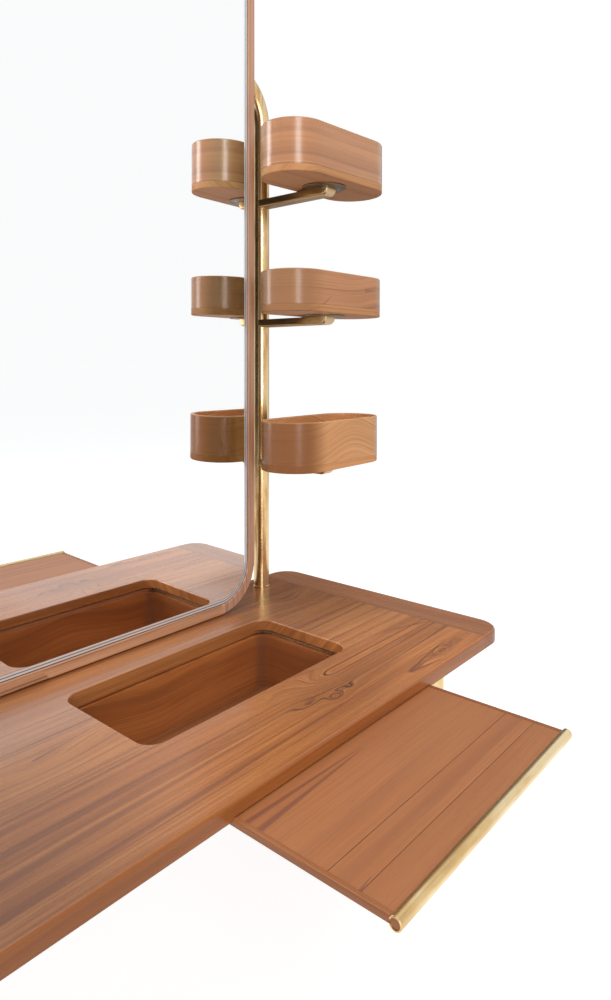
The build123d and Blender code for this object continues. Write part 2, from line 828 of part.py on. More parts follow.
save(tray_lip(-1), "tray_lip_left")
save(tray_lip(1), "tray_lip_right")

with BuildPart() as stop_pins:
    with Locations(*[plane.offset(stop_pin_reach) for plane in pin_planes.values()]):
        Cylinder(stop_pin_radius, stop_pin_reach + stop_pin_seat,
                 align=(Align.CENTER, Align.CENTER, Align.MAX))
save(stop_pins, "tray_stop_pins")

with BuildPart() as pull_rod:
    with BuildSketch(rod_plane):
        Circle(rod_radius)
        Circle(rod_radius - rod_wall, mode=Mode.SUBTRACT)
    extrude(amount=tray_width / 2 + rod_overhang, both=True)
    rims = pull_rod.faces().filter_by(Axis.X)
    fillet([face.outer_wire().edge() for face in rims], rod_end_round)
    with BuildSketch(rod_plane):
        Rectangle(2 * rod_radius, tongue_thickness + 2 * seat_clearance,
                  align=(Align.MIN, Align.CENTER))
    extrude(amount=tray_width / 2 + rod_overhang, both=True, mode=Mode.SUBTRACT)
save(pull_rod, "pull_rod")
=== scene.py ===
"""Vanity table in oiled teak and aged brass: finishes, small fittings, light and camera.

Everything is in metres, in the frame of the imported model: +X to the right, +Y to the back, +Z up.
"""
import json
import logging
import math
from collections.abc import Callable
from dataclasses import dataclass, field
from enum import Enum

import bpy
from mathutils import Matrix, Vector


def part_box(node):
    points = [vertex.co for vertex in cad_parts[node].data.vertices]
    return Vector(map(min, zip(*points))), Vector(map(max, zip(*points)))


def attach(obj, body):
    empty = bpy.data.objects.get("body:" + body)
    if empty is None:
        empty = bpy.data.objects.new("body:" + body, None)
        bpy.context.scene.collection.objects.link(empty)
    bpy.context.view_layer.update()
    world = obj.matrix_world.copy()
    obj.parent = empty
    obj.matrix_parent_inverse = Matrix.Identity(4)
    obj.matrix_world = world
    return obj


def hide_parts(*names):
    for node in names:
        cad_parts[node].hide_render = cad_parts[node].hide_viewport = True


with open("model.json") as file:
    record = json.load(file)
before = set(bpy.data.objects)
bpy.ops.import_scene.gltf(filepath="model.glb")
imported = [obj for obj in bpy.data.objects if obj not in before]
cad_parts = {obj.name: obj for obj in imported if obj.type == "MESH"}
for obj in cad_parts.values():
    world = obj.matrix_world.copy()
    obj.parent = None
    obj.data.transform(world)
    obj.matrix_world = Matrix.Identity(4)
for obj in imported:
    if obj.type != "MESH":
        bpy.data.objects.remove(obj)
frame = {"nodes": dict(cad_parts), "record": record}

LOG = logging.getLogger("vanity_table")
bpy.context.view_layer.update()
MM = 0.001

Colour = tuple[float, float, float]
Point = tuple[float, float, float]
Spot = tuple[float, float]


class Axis(Enum):
    """The way the grain of a board runs."""

    X = 0
    Y = 1
    Z = 2


class Field:
    """A value or vector socket of a node tree, with Python operators that add Math nodes."""

    def __init__(self, shader: "Shader", socket: bpy.types.NodeSocket) -> None:
        """Keeps the socket and the shader that it belongs to."""
        self.shader = shader
        self.socket = socket

    def math(self, operation: str, *values: "Field | float") -> "Field":
        """Adds one Math node.

        Args:
            operation: the Math node's operation.
            values: its inputs, in order.

        Returns:
            The node's result.
        """
        return self.shader.node("ShaderNodeMath", {"operation": operation}, dict(enumerate(values)))

    def __add__(self, other: "Field | float") -> "Field":
        """Sum."""
        return self.math("ADD", self, other)

    def __radd__(self, other: float) -> "Field":
        """Sum with a number on the left."""
        return self.math("ADD", other, self)

    def __sub__(self, other: "Field | float") -> "Field":
        """Difference."""
        return self.math("SUBTRACT", self, other)

    def __rsub__(self, other: float) -> "Field":
        """Difference from a number on the left."""
        return self.math("SUBTRACT", other, self)

    def __mul__(self, other: "Field | float") -> "Field":
        """Product."""
        return self.math("MULTIPLY", self, other)

    def __rmul__(self, other: float) -> "Field":
        """Product with a number on the left."""
        return self.math("MULTIPLY", other, self)

    def __truediv__(self, other: "Field | float") -> "Field":
        """Quotient."""
        return self.math("DIVIDE", self, other)

    def __pow__(self, other: float) -> "Field":
        """Power."""
        return self.math("POWER", self, other)

    def __neg__(self) -> "Field":
        """Opposite."""
        return self.math("MULTIPLY", self, -1.0)

    def __abs__(self) -> "Field":
        """Size without its sign."""
        return self.math("ABSOLUTE", self)

    def exp(self) -> "Field":
        """e to this power."""
        return self.math("EXPONENT", self)

    def sqrt(self) -> "Field":
        """Square root."""
        return self.math("SQRT", self)

    def least(self, other: "Field | float") -> "Field":
        """The smaller of two."""
        return self.math("MINIMUM", self, other)

    def most(self, other: "Field | float") -> "Field":
        """The larger of two."""
        return self.math("MAXIMUM", self, other)

    def angle(self, other: "Field") -> "Field":
        """Angle of the point (other, self) in radians."""
        return self.math("ARCTAN2", self, other)

    def above(self, limit: float) -> "Field":
        """1 where this is over the limit, else 0."""
        return self.math("GREATER_THAN", self, limit)

    def fraction(self) -> "Field":
        """What is left of this over a whole number."""
        return self.math("FRACT", self)

    def whole(self) -> "Field":
        """The whole number below this."""
        return self.math("FLOOR", self)

    def ease(self, low: float, high: float) -> "Field":
        """Smooth step from 0 at low to 1 at high.

        Args:
            low: where the step starts; it may be over high for a falling step.
            high: where the step ends.

        Returns:
            The step.
        """
        settings = {"interpolation_type": "SMOOTHSTEP"}
        if low > high:
            return 1.0 - self.ease(high, low)
        return self.shader.node(
            "ShaderNodeMapRange", settings, {"Value": self, "From Min": low, "From Max": high}
        )

    def band(self, middle: float, half: float, soft: float) -> "Field":
        """1 within half of a middle value, falling to 0 over a soft edge."""
        return abs(self - middle).ease(half + soft, half)


class Shader:
    """One procedural material: a Principled shader and the nodes that feed it."""

    def __init__(self, name: str) -> None:
        """Makes a new material with an empty Principled shader.

        Args:
            name: the material's name.
        """
        self.material = bpy.data.materials.new(name)
        self.material.use_nodes = True
        self.tree = self.material.node_tree
        self.tree.nodes.clear()
        self.surface = self.tree.nodes.new("ShaderNodeBsdfPrincipled")
        output = self.tree.nodes.new("ShaderNodeOutputMaterial")
        self.tree.links.new(self.surface.outputs["BSDF"], output.inputs["Surface"])

    def put(self, socket: bpy.types.NodeSocket, value: object) -> None:
        """Links a field to a socket, or sets the socket's own value.

        Args:
            socket: the input socket.
            value: a Field, a number, a colour or a vector.
        """
        if isinstance(value, Field):
            self.tree.links.new(value.socket, socket)
        elif isinstance(value, tuple) and socket.type == "RGBA":
            socket.default_value = (*value[:3], 1.0)
        else:
            socket.default_value = value

    def node(self, kind: str, settings: dict, inputs: dict, output: int | str = 0) -> Field:
        """Adds any node.

        Args:
            kind: the node's type name.
            settings: its own properties, set first.
            inputs: its sockets by name or number, as values or fields.
            output: the output socket that is wanted.

        Returns:
            That output as a field.
        """
        made = self.tree.nodes.new(kind)
        for key, value in settings.items():
            setattr(made, key, value)
        for key, value in inputs.items():
            self.put(made.inputs[key], value)
        return Field(self, made.outputs[output])

    def place(self, centre: Point = (0, 0, 0), turn: float = 0.0) -> tuple[Field, Field, Field]:
        """Object coordinates about a centre, turned about Z.

        Args:
            centre: the point that becomes the origin.
            turn: the turn of the piece about Z, in degrees, which is taken out.

        Returns:
            The three coordinates, in metres.
        """
        coords = self.node("ShaderNodeTexCoord", {}, {}, "Object")
        settings = {"vector_type": "TEXTURE"}
        turned = (0.0, 0.0, math.radians(turn))
        moved = self.node("ShaderNodeMapping", settings,
                          {"Vector": coords, "Location": centre, "Rotation": turned})
        return tuple(self.node("ShaderNodeSeparateXYZ", {}, {0: moved}, axis) for axis in range(3))

    def vector(self, *parts: Field | float) -> Field:
        """A vector from three parts."""
        return self.node("ShaderNodeCombineXYZ", {}, dict(enumerate(parts)))

    def noise(self, at: Field, scale: float = 1.0, detail: float = 2.0, rough: float = 0.5) -> Field:
        """Noise from 0 to 1 at a point.

        Args:
            at: the point as a vector.
            scale: how many features there are per unit.
            detail: octaves.
            rough: weight of the finer octaves.

        Returns:
            The noise.
        """
        return self.node("ShaderNodeTexNoise", {"noise_dimensions": "3D"},
                         {"Vector": at, "Scale": scale, "Detail": detail, "Roughness": rough})

    def line_noise(self, along: Field, scale: float, detail: float = 1.0) -> Field:
        """Noise from 0 to 1 along one value, for irregular bands."""
        return self.node("ShaderNodeTexNoise", {"noise_dimensions": "1D"},
                         {"W": along, "Scale": scale, "Detail": detail})

    @staticmethod
    def inside(x: Field, y: Field, half: Spot, corner: float) -> Field:
        """Distance inside a rounded rectangle about the origin.

        Args:
            x: first coordinate.
            y: second coordinate.
            half: half of its width and of its height.
            corner: radius of its corners.

        Returns:
            The distance from its outline, in metres.
        """
        across = (abs(x) - (half[0] - corner)).most(0.0)
        upward = (abs(y) - (half[1] - corner)).most(0.0)
        return corner - (across * across + upward * upward).sqrt()

    def mix(self, factor: Field | float, one: Field | Colour, other: Field | Colour,
            blend: str = "MIX") -> Field:
        """Mixes two colours.

        Args:
            factor: share of the second.
            one: first colour.
            other: second colour.
            blend: how they are mixed.

        Returns:
            The mixed colour.
        """
        return self.node("ShaderNodeMix", {"data_type": "RGBA", "blend_type": blend},
                         {0: factor, 6: one, 7: other}, 2)

    def bump(self, height: Field, strength: float, depth: float) -> None:
        """Feeds the shader's normal with relief.

        Args:
            height: relief from 0 to 1.
            strength: share of the relief that shows.
            depth: its depth in metres.
        """
        normal = self.node("ShaderNodeBump", {},
                           {"Strength": strength, "Distance": depth, "Height": height})
        self.put(self.surface.inputs["Normal"], normal)

    def set(self, **inputs: object) -> bpy.types.Material:
        """Sets the shader's own sockets.

        Args:
            inputs: values or fields by the sockets' names, with underscores for spaces.

        Returns:
            The material.
        """
        for key, value in inputs.items():
            self.put(self.surface.inputs[key.replace("_", " ")], value)
        return self.material


@dataclass(frozen=True)
class Eye:
    """An eye in the figure of a board, around which the rings close."""

    at: Spot
    reach: Spot
    lift: float
    darken: float = 0.6

    def raised(self, along: Field, across: Field) -> Field:
        """Height of the eye over the board.

        Args:
            along: coordinate along the grain.
            across: coordinate across it.

        Returns:
            The height, from 0 to 1.
        """
        u = (along - self.at[0]) / self.reach[0]
        v = (across - self.at[1]) / self.reach[1]
        return (-(u * u + v * v)).exp()


@dataclass(frozen=True)
class Tongue:
    """Nested arches with their tips at one end of a stretch of a board."""

    at: Spot
    reach: Spot
    end: float
    lift: float
    darken: float = 0.5

    def raised(self, along: Field, across: Field) -> Field:
        """Height of the tongue over the board.

        Args:
            along: coordinate along the grain.
            across: coordinate across it.

        Returns:
            The height, from 0 to 1.
        """
        v = (across - self.at[1]) / self.reach[1]
        swell = along.ease(self.at[0], self.at[0] + self.reach[0])
        fall = along.ease(self.end, self.end - self.reach[0])
        return swell * fall * (-(v * v)).exp()


@dataclass(frozen=True)
class Arch:
    """A hill that every ring of a board climbs."""

    at: float
    reach: float
    lift: float
    darken: float = 0.0

    def raised(self, along: Field, across: Field) -> Field:
        """Height of the hill, from 0 to 1."""
        u = (along - self.at) / self.reach
        return (-(u * u)).exp()


@dataclass(frozen=True)
class Streak:
    """A dark streak that tapers from its start to its end."""

    start: Spot
    end: Spot
    half: float
    strength: float = 0.85
    thinnest: float = 0.3 * MM
    side_edge: Spot = (0.0, 0.7)
    start_edge: Spot = (-0.04, 0.04)
    end_edge: Spot = (1.0, 0.8)

    def mask(self, along: Field, across: Field) -> Field:
        """How dark the streak is.

        Args:
            along: coordinate along the grain.
            across: coordinate across it.

        Returns:
            Its strength along its middle, and 0 outside it.
        """
        share = (along - self.start[0]) / (self.end[0] - self.start[0])
        middle = self.start[1] + share * (self.end[1] - self.start[1])
        width = ((1.0 - share) * self.half).most(self.thinnest)
        inside = 1.0 - abs(across - middle) / width
        ends = share.ease(*self.start_edge) * share.ease(*self.end_edge)
        return inside.ease(*self.side_edge) * ends * self.strength


@dataclass(frozen=True)
class Speckle:
    """Noise that is drawn out along the grain, with its features per metre along and across it."""

    along: float
    across: float
    layer: float = 0.0
    detail: float = 2.0
    rough: float = 0.5

    def noise(self, shader: Shader, along: Field, across: Field, seed: float = 0.0) -> Field:
        """The noise at a place on a board.

        Args:
            shader: the material being made.
            along: coordinate along the grain.
            across: coordinate across it.
            seed: the board's own number.

        Returns:
            The noise, from 0 to 1.
        """
        at = shader.vector(along * self.along, across * self.across, seed + self.layer)
        return shader.noise(at, 1.0, self.detail, self.rough)


@dataclass(frozen=True)
class Marks:
    """The marks that every piece of wood has: a pair of shares is where a mark starts and is full."""

    slow_wave: Speckle = Speckle(1.6, 5.0, detail=1.0)
    small_wave: Speckle = Speckle(9.0, 40.0, layer=1.0, detail=1.0)
    clouds: Speckle = Speckle(4.0, 18.0, layer=2.0)
    fading: Speckle = Speckle(5.0, 60.0, layer=5.0, detail=1.0)
    hair_lines: Speckle = Speckle(6.0, 380.0, layer=1.0, detail=3.0, rough=0.6)
    open_pores: Speckle = Speckle(70.0, 1500.0, layer=2.0)
    slow_height: float = 2.0
    small_height: float = 0.4
    slant: float = 0.8
    spacing_changes: float = 0.4
    spacing_reach: float = 2.2
    line_rise: float = 5.0
    line_stop: Spot = (1.0, 0.9)
    line_depths: float = 1.7
    line_least: float = 0.15
    line_strength: float = 1.5
    line_fade: Spot = (0.2, 0.55)
    line_kept: float = 0.3
    line_most: float = 0.9
    broad_bands: float = 0.3
    smoke_bands: float = 0.55
    smoke_offset: float = 3.7
    smoke_span: Spot = (0.52, 0.68)
    smoke_fade: Spot = (0.3, 0.6)
    tone_parts: tuple[float, float, float] = (0.3, 0.25, 0.45)
    tone_span: Spot = (0.38, 0.62)
    seam_band: Spot = (0.25 * MM, 0.4 * MM)
    seam_share: float = 0.7
    pore_span: Spot = (0.6, 0.74)
    pore_share: float = 0.25
    pore_relief: float = 0.7
    relief: Spot = (0.2, 0.15 * MM)
    pore_rough: float = 0.1
    line_rough: float = 0.06
    coat_rough: float = 0.26


MARKS = Marks()


@dataclass
class Wood:
    """The fields that a piece of wood feeds to its shader."""

    colour: Field
    pores: Field
    lines: Field


@dataclass(frozen=True)
class Teak:
    """Oiled teak: warm wood with smoky streaks, dark latewood lines, fine pores and a satin sheen."""

    name: str
    light: Colour = (0.53, 0.205, 0.062)
    deep: Colour = (0.35, 0.118, 0.034)
    smoke: Colour = (0.19, 0.064, 0.030)
    line: Colour = (0.075, 0.023, 0.012)
    grain: Axis = Axis.X
    ring: float = 9 * MM
    line_share: float = 0.45
    smoke_share: float = 0.5
    wave: float = 5 * MM
    figures: tuple[Eye | Tongue | Arch, ...] = ()
    streaks: tuple[Streak, ...] = ()
    seams: tuple[float, ...] = ()
    roughness: float = 0.34
    gloss: float = 0.5
    coat: float = 0.0
    seed: float = 0.0

    def along_across(self, x: Field, y: Field, z: Field) -> tuple[Field, Field]:
        """Picks the coordinates of the grain, slanted so that the edges of a board show it too.

        Args:
            x: first coordinate.
            y: second coordinate.
            z: third coordinate.

        Returns:
            The coordinates along and across the grain.
        """
        ways = {Axis.X: (x, y, z), Axis.Y: (y, x, z), Axis.Z: (z, x, y)}
        along, side, depth = ways[self.grain]
        return along, side + depth * MARKS.slant

    def rings(self, shader: Shader, along: Field, across: Field) -> tuple[Field, Field]:
        """The ring field of a board, whose level lines are the grain.

        Args:
            shader: the material being made.
            along: coordinate along the grain.
            across: coordinate across it.

        Returns:
            The ring field in metres, and how strongly the board is figured.
        """
        total = across
        waves = ((MARKS.slow_wave, MARKS.slow_height), (MARKS.small_wave, MARKS.small_height))
        for wave, height in waves:
            swing = wave.noise(shader, along, across, self.seed) - 0.5
            total = total + swing * (height * self.wave)
        figured = total * 0.0
        for figure in self.figures:
            raised = figure.raised(along, across)
            total = total + raised * figure.lift
            figured = figured + raised * figure.darken
        return total, figured

    def late_wood(self, shader: Shader, rings: Field) -> Field:
        """Dark lines: each ring darkens slowly and stops sharply, some more than others.

        Args:
            shader: the material being made.
            rings: the ring field in metres.

        Returns:
            How dark the lines are.
        """
        spacing = shader.line_noise(rings, MARKS.spacing_changes / self.ring) - 0.5
        uneven = rings / self.ring + spacing * MARKS.spacing_reach
        share = uneven.fraction()
        drawn = shader.node("ShaderNodeTexWhiteNoise", {"noise_dimensions": "1D"},
                            {"W": uneven.whole()})
        depth = drawn ** 2.0 * MARKS.line_depths + MARKS.line_least
        return share ** MARKS.line_rise * share.ease(*MARKS.line_stop) * depth * MARKS.line_strength

    def wood(self, shader: Shader, along: Field, across: Field, shift: Field | float = 0.0) -> Wood:
        """Colour, pores and lines of the wood.

        Args:
            shader: the material being made.
            along: coordinate along the grain.
            across: coordinate across it.
            shift: offset of the rings, which differs from board to board.

        Returns:
            The wood's fields.
        """
        rings, figured = self.rings(shader, along, across)
        seeded = rings + shift + self.seed
        broad = shader.line_noise(seeded, MARKS.broad_bands / self.ring, detail=2.0)
        bands = shader.line_noise(seeded + MARKS.smoke_offset, MARKS.smoke_bands / self.ring, detail=2.0)
        cloud = MARKS.clouds.noise(shader, along, across, self.seed)
        fade = MARKS.fading.noise(shader, along, seeded)
        hair = MARKS.hair_lines.noise(shader, along, seeded)
        pores = MARKS.open_pores.noise(shader, along, seeded)
        of_broad, of_cloud, of_hair = MARKS.tone_parts
        tone = (broad * of_broad + cloud * of_cloud + hair * of_hair).ease(*MARKS.tone_span)
        coloured = shader.mix(tone, self.deep, self.light)
        smoky = bands.ease(*MARKS.smoke_span) * fade.ease(*MARKS.smoke_fade) * self.smoke_share
        for streak in self.streaks:
            smoky = smoky.most(streak.mask(along, across))
        coloured = shader.mix(smoky, coloured, self.smoke)
        lines = self.late_wood(shader, seeded) * (figured + self.line_share).most(0.0)
        faded = fade.ease(*MARKS.line_fade) * (1.0 - MARKS.line_kept) + MARKS.line_kept
        lines = (lines * faded).least(MARKS.line_most)
        for seam in self.seams:
            lines = lines.most(across.band(seam, *MARKS.seam_band) * MARKS.seam_share)
        coloured = shader.mix(lines, coloured, self.line)
        flecks = pores.ease(*MARKS.pore_span)
        return Wood(shader.mix(flecks * MARKS.pore_share, coloured, self.line), flecks, lines)

    def finish(self, shader: Shader, wood: Wood, polished: Field | float = 1.0) -> bpy.types.Material:
        """Feeds the shader with the wood's fields.

        Args:
            shader: the material being made.
            wood: the wood's fields.
            polished: where the coat of polish lies, from 0 to 1.

        Returns:
            The material.
        """
        hollow = wood.pores * MARKS.pore_relief + wood.lines * (1.0 - MARKS.pore_relief)
        shader.bump(1.0 - hollow, *MARKS.relief)
        return shader.set(
            Base_Color=wood.colour,
            Roughness=self.roughness + wood.pores * MARKS.pore_rough + wood.lines * MARKS.line_rough,
            Specular_IOR_Level=self.gloss,
            Coat_Weight=polished * self.coat,
            Coat_Roughness=MARKS.coat_rough,
        )

    def material(self, centre: Point = (0, 0, 0), turn: float = 0.0) -> bpy.types.Material:
        """The material of a board of one grain.

        Args:
            centre: the middle of the board.
            turn: the board's turn about Z, in degrees.

        Returns:
            The material.
        """
        shader = Shader(self.name)
        along, across = self.along_across(*shader.place(centre, turn))
        return self.finish(shader, self.wood(shader, along, across))


@dataclass(frozen=True)
class Brass:
    """Unlacquered brass with tarnish in patches and drawn-out streaks."""

    name: str
    bright: Colour = (0.76, 0.56, 0.30)
    warm: Colour = (0.60, 0.36, 0.15)
    tarnish: Colour = (0.15, 0.082, 0.038)
    tarnish_share: float = 0.7
    roughness: float = 0.22
    stretch: Axis = Axis.Z
    wear_and_highlight: Colour = (0.74, 0.57, 0.33)
    patch_grain: Spot = (10.0, 46.0)
    drawn_grain: Spot = (5.0, 240.0)
    brush_grain: Spot = (30.0, 1100.0)
    spot_grain: float = 190.0
    uneven: float = 0.6
    warm_span: Spot = (0.4, 0.62)
    dull_spans: tuple[Spot, ...] = ((0.54, 0.74), (0.54, 0.72), (0.6, 0.76))
    dull_parts: tuple[float, ...] = (0.6, 0.5, 0.3)
    dull_rough: float = 0.18
    brush_rough: float = 0.1
    brush_relief: float = 0.6
    relief: Spot = (0.12, 0.1 * MM)

    def stretched(self, shader: Shader, parts: tuple[Field, ...], along: float, across: float) -> Field:
        """A point with the axis of drawing scaled by one number and the other axes by another."""
        return shader.vector(*(part * (along if axis is self.stretch else across)
                               for axis, part in zip(Axis, parts)))

    def material(self, wear_and_highlight: Callable[..., Field] | None = None) -> bpy.types.Material:
        """The material.

        Args:
            wear_and_highlight: gives where the metal is brighter, partly as wear from hands and partly as a
                painted highlight, from the three coordinates.

        Returns:
            The material.
        """
        shader = Shader(self.name)
        parts = shader.place()
        patched = self.stretched(shader, parts, *self.patch_grain)
        patches = shader.noise(patched, detail=3.0, rough=self.uneven)
        drawn = shader.noise(self.stretched(shader, parts, *self.drawn_grain), rough=self.uneven)
        spots = shader.noise(shader.vector(*parts), self.spot_grain, detail=3.0, rough=self.uneven)
        brushed = shader.noise(self.stretched(shader, parts, *self.brush_grain))
        coloured = shader.mix(patches.ease(*self.warm_span), self.bright, self.warm)
        kinds = zip((patches, drawn, spots), self.dull_spans, self.dull_parts)
        first, *others = [kind.ease(*span) * part for kind, span, part in kinds]
        dull = sum(others, first).least(1.0)
        coloured = shader.mix(dull * self.tarnish_share, coloured, self.tarnish)
        # Brighter where the mask is full: partly wear, partly a painted highlight.
        if wear_and_highlight:
            coloured = shader.mix(wear_and_highlight(*parts), coloured, self.wear_and_highlight)
        scratched = brushed * self.brush_relief + spots * (1.0 - self.brush_relief)
        shader.bump(scratched, *self.relief)
        return shader.set(
            Base_Color=coloured,
            Metallic=1.0,
            Roughness=self.roughness + dull * self.dull_rough + (brushed - 0.5) * self.brush_rough,
        )


@dataclass(frozen=True)
class Steel:
    """Plain screw steel with fine turning marks."""

    name: str = "screw_steel"
    colour: Colour = (0.50, 0.49, 0.47)
    shade: Colour = (0.33, 0.31, 0.29)
    mark_grain: float = 700.0
    cloud_grain: float = 90.0
    cloud_span: Spot = (0.4, 0.65)
    relief: Spot = (0.15, 0.05 * MM)
    roughness: float = 0.28
    mark_rough: float = 0.16

    def material(self) -> bpy.types.Material:
        """Makes the material.

        Returns:
            The material.
        """
        shader = Shader(self.name)
        at = shader.vector(*shader.place())
        marks = shader.noise(at, self.mark_grain, detail=3.0)
        cloud = shader.noise(at, self.cloud_grain)
        shader.bump(marks, *self.relief)
        return shader.set(
            Base_Color=shader.mix(cloud.ease(*self.cloud_span), self.colour, self.shade),
            Metallic=1.0,
            Roughness=self.roughness + marks * self.mark_rough,
        )


@dataclass(frozen=True)
class Rubber:
    """Dark moulded glide under a foot."""

    name: str = "glide"
    colour: Colour = (0.032, 0.031, 0.030)
    scuffed: Colour = (0.085, 0.082, 0.078)
    skin_grain: float = 1400.0
    scuff_grain: float = 160.0
    scuff_span: Spot = (0.5, 0.7)
    relief: Spot = (0.2, 0.1 * MM)
    roughness: float = 0.55
    skin_rough: float = 0.2

    def material(self) -> bpy.types.Material:
        """Makes the material.

        Returns:
            The material.
        """
        shader = Shader(self.name)
        at = shader.vector(*shader.place())
        skin = shader.noise(at, self.skin_grain)
        scuff = shader.noise(at, self.scuff_grain, detail=3.0)
        shader.bump(skin, *self.relief)
        return shader.set(
            Base_Color=shader.mix(scuff.ease(*self.scuff_span), self.colour, self.scuffed),
            Roughness=self.roughness + skin * self.skin_rough,
        )


@dataclass(frozen=True)
class Silvering:
    """Silvered glass with a wide bevel painted lighter as a painted reflection, dark at its very edge,
    whose reflections lean a little.
    """

    name: str = "mirror_silver"
    silver: Colour = (0.955, 0.962, 0.968)
    bevel: Colour = (0.82, 0.85, 0.87)
    edge: Colour = (0.07, 0.10, 0.13)
    lean: float = 0.0153
    rim: Spot = (1.6 * MM, 0.9 * MM)
    crease_share: float = 0.8
    crease_place: float = 0.55
    crease_band: Spot = (0.6 * MM, 0.5 * MM)
    inner_band: Spot = (0.3 * MM, 0.3 * MM)
    inner_share: float = 0.5
    slope_edge: float = 0.4 * MM
    slope_glass: float = 0.65
    slope_rough: float = 0.2
    dust_grain: float = 26.0
    dust_span: Spot = (0.5, 0.8)
    dust_rough: float = 0.02
    roughness: float = 0.012

    def material(self, low: Vector, high: Vector, corner: float, bevel: float) -> bpy.types.Material:
        """The material of the glass.

        Args:
            low: lowest corner of the pane.
            high: highest corner of the pane.
            corner: radius of its corners.
            bevel: width of its bevel.

        Returns:
            The material.
        """
        shader = Shader(self.name)
        x, _, z = shader.place(tuple((low + high) / 2))
        inside = shader.inside(x, z, ((high.x - low.x) / 2, (high.z - low.z) / 2), corner)
        rim = inside.ease(*self.rim)
        crease = inside.band(self.crease_place * bevel, *self.crease_band)
        crease = crease.most(inside.band(bevel, *self.inner_band) * self.inner_share)
        slope = inside.ease(bevel, bevel - self.slope_edge)
        dust = shader.noise(shader.vector(*shader.place()), self.dust_grain, detail=4.0)
        # The bevel's lighter tone is a painted reflection.
        toned = shader.mix(slope, self.silver, self.bevel)
        edged = shader.mix((rim + crease * self.crease_share).least(1.0), toned, self.edge)
        normal = shader.node("ShaderNodeNewGeometry", {}, {}, "Normal")
        leaning = shader.node("ShaderNodeVectorMath", {"operation": "ADD"},
                              {0: normal, 1: (0.0, 0.0, -self.lean)})
        levelled = shader.node("ShaderNodeVectorMath", {"operation": "NORMALIZE"}, {0: leaning})
        dusty = dust.ease(*self.dust_span) * self.dust_rough
        return shader.set(
            Base_Color=edged,
            Metallic=1.0 - slope * self.slope_glass,
            Roughness=self.roughness + dusty + slope * self.slope_rough,
            Normal=levelled,
        )


def dress(nodes: list[str], material: bpy.types.Material) -> None:
    """Puts a material on CAD nodes.

    Args:
        nodes: names of the nodes.
        material: their finish.
    """
    for name in nodes:
        for slot in frame["nodes"][name].material_slots:
            slot.material = material
        LOG.info("%s dressed in %s", name, material.name)


def middle_of(node: str) -> Vector:
    """The middle of a CAD node's box."""
    low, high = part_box(node)
    return (low + high) / 2


def choose(*pieces: bpy.types.Object) -> None:
    """Selects these pieces alone, with the first one active, or clears the selection.

    Args:
        pieces: the pieces, if any.
    """
    bpy.ops.object.select_all(action="DESELECT")
    for piece in pieces:
        piece.select_set(True)
    if pieces:
        bpy.context.view_layer.objects.active = pieces[0]


@dataclass(frozen=True)
class Patch:
    """A soft-edged part of the top: each pair is where it starts to show and where it is full."""

    x: tuple[Spot, ...]
    y: tuple[Spot, ...] = ()

    def mask(self, x: Field, y: Field) -> Field:
        """1 in the patch, 0 outside it."""
        first, *others = [x.ease(*step) for step in self.x] + [y.ease(*step) for step in self.y]
        return math.prod(others, start=first)


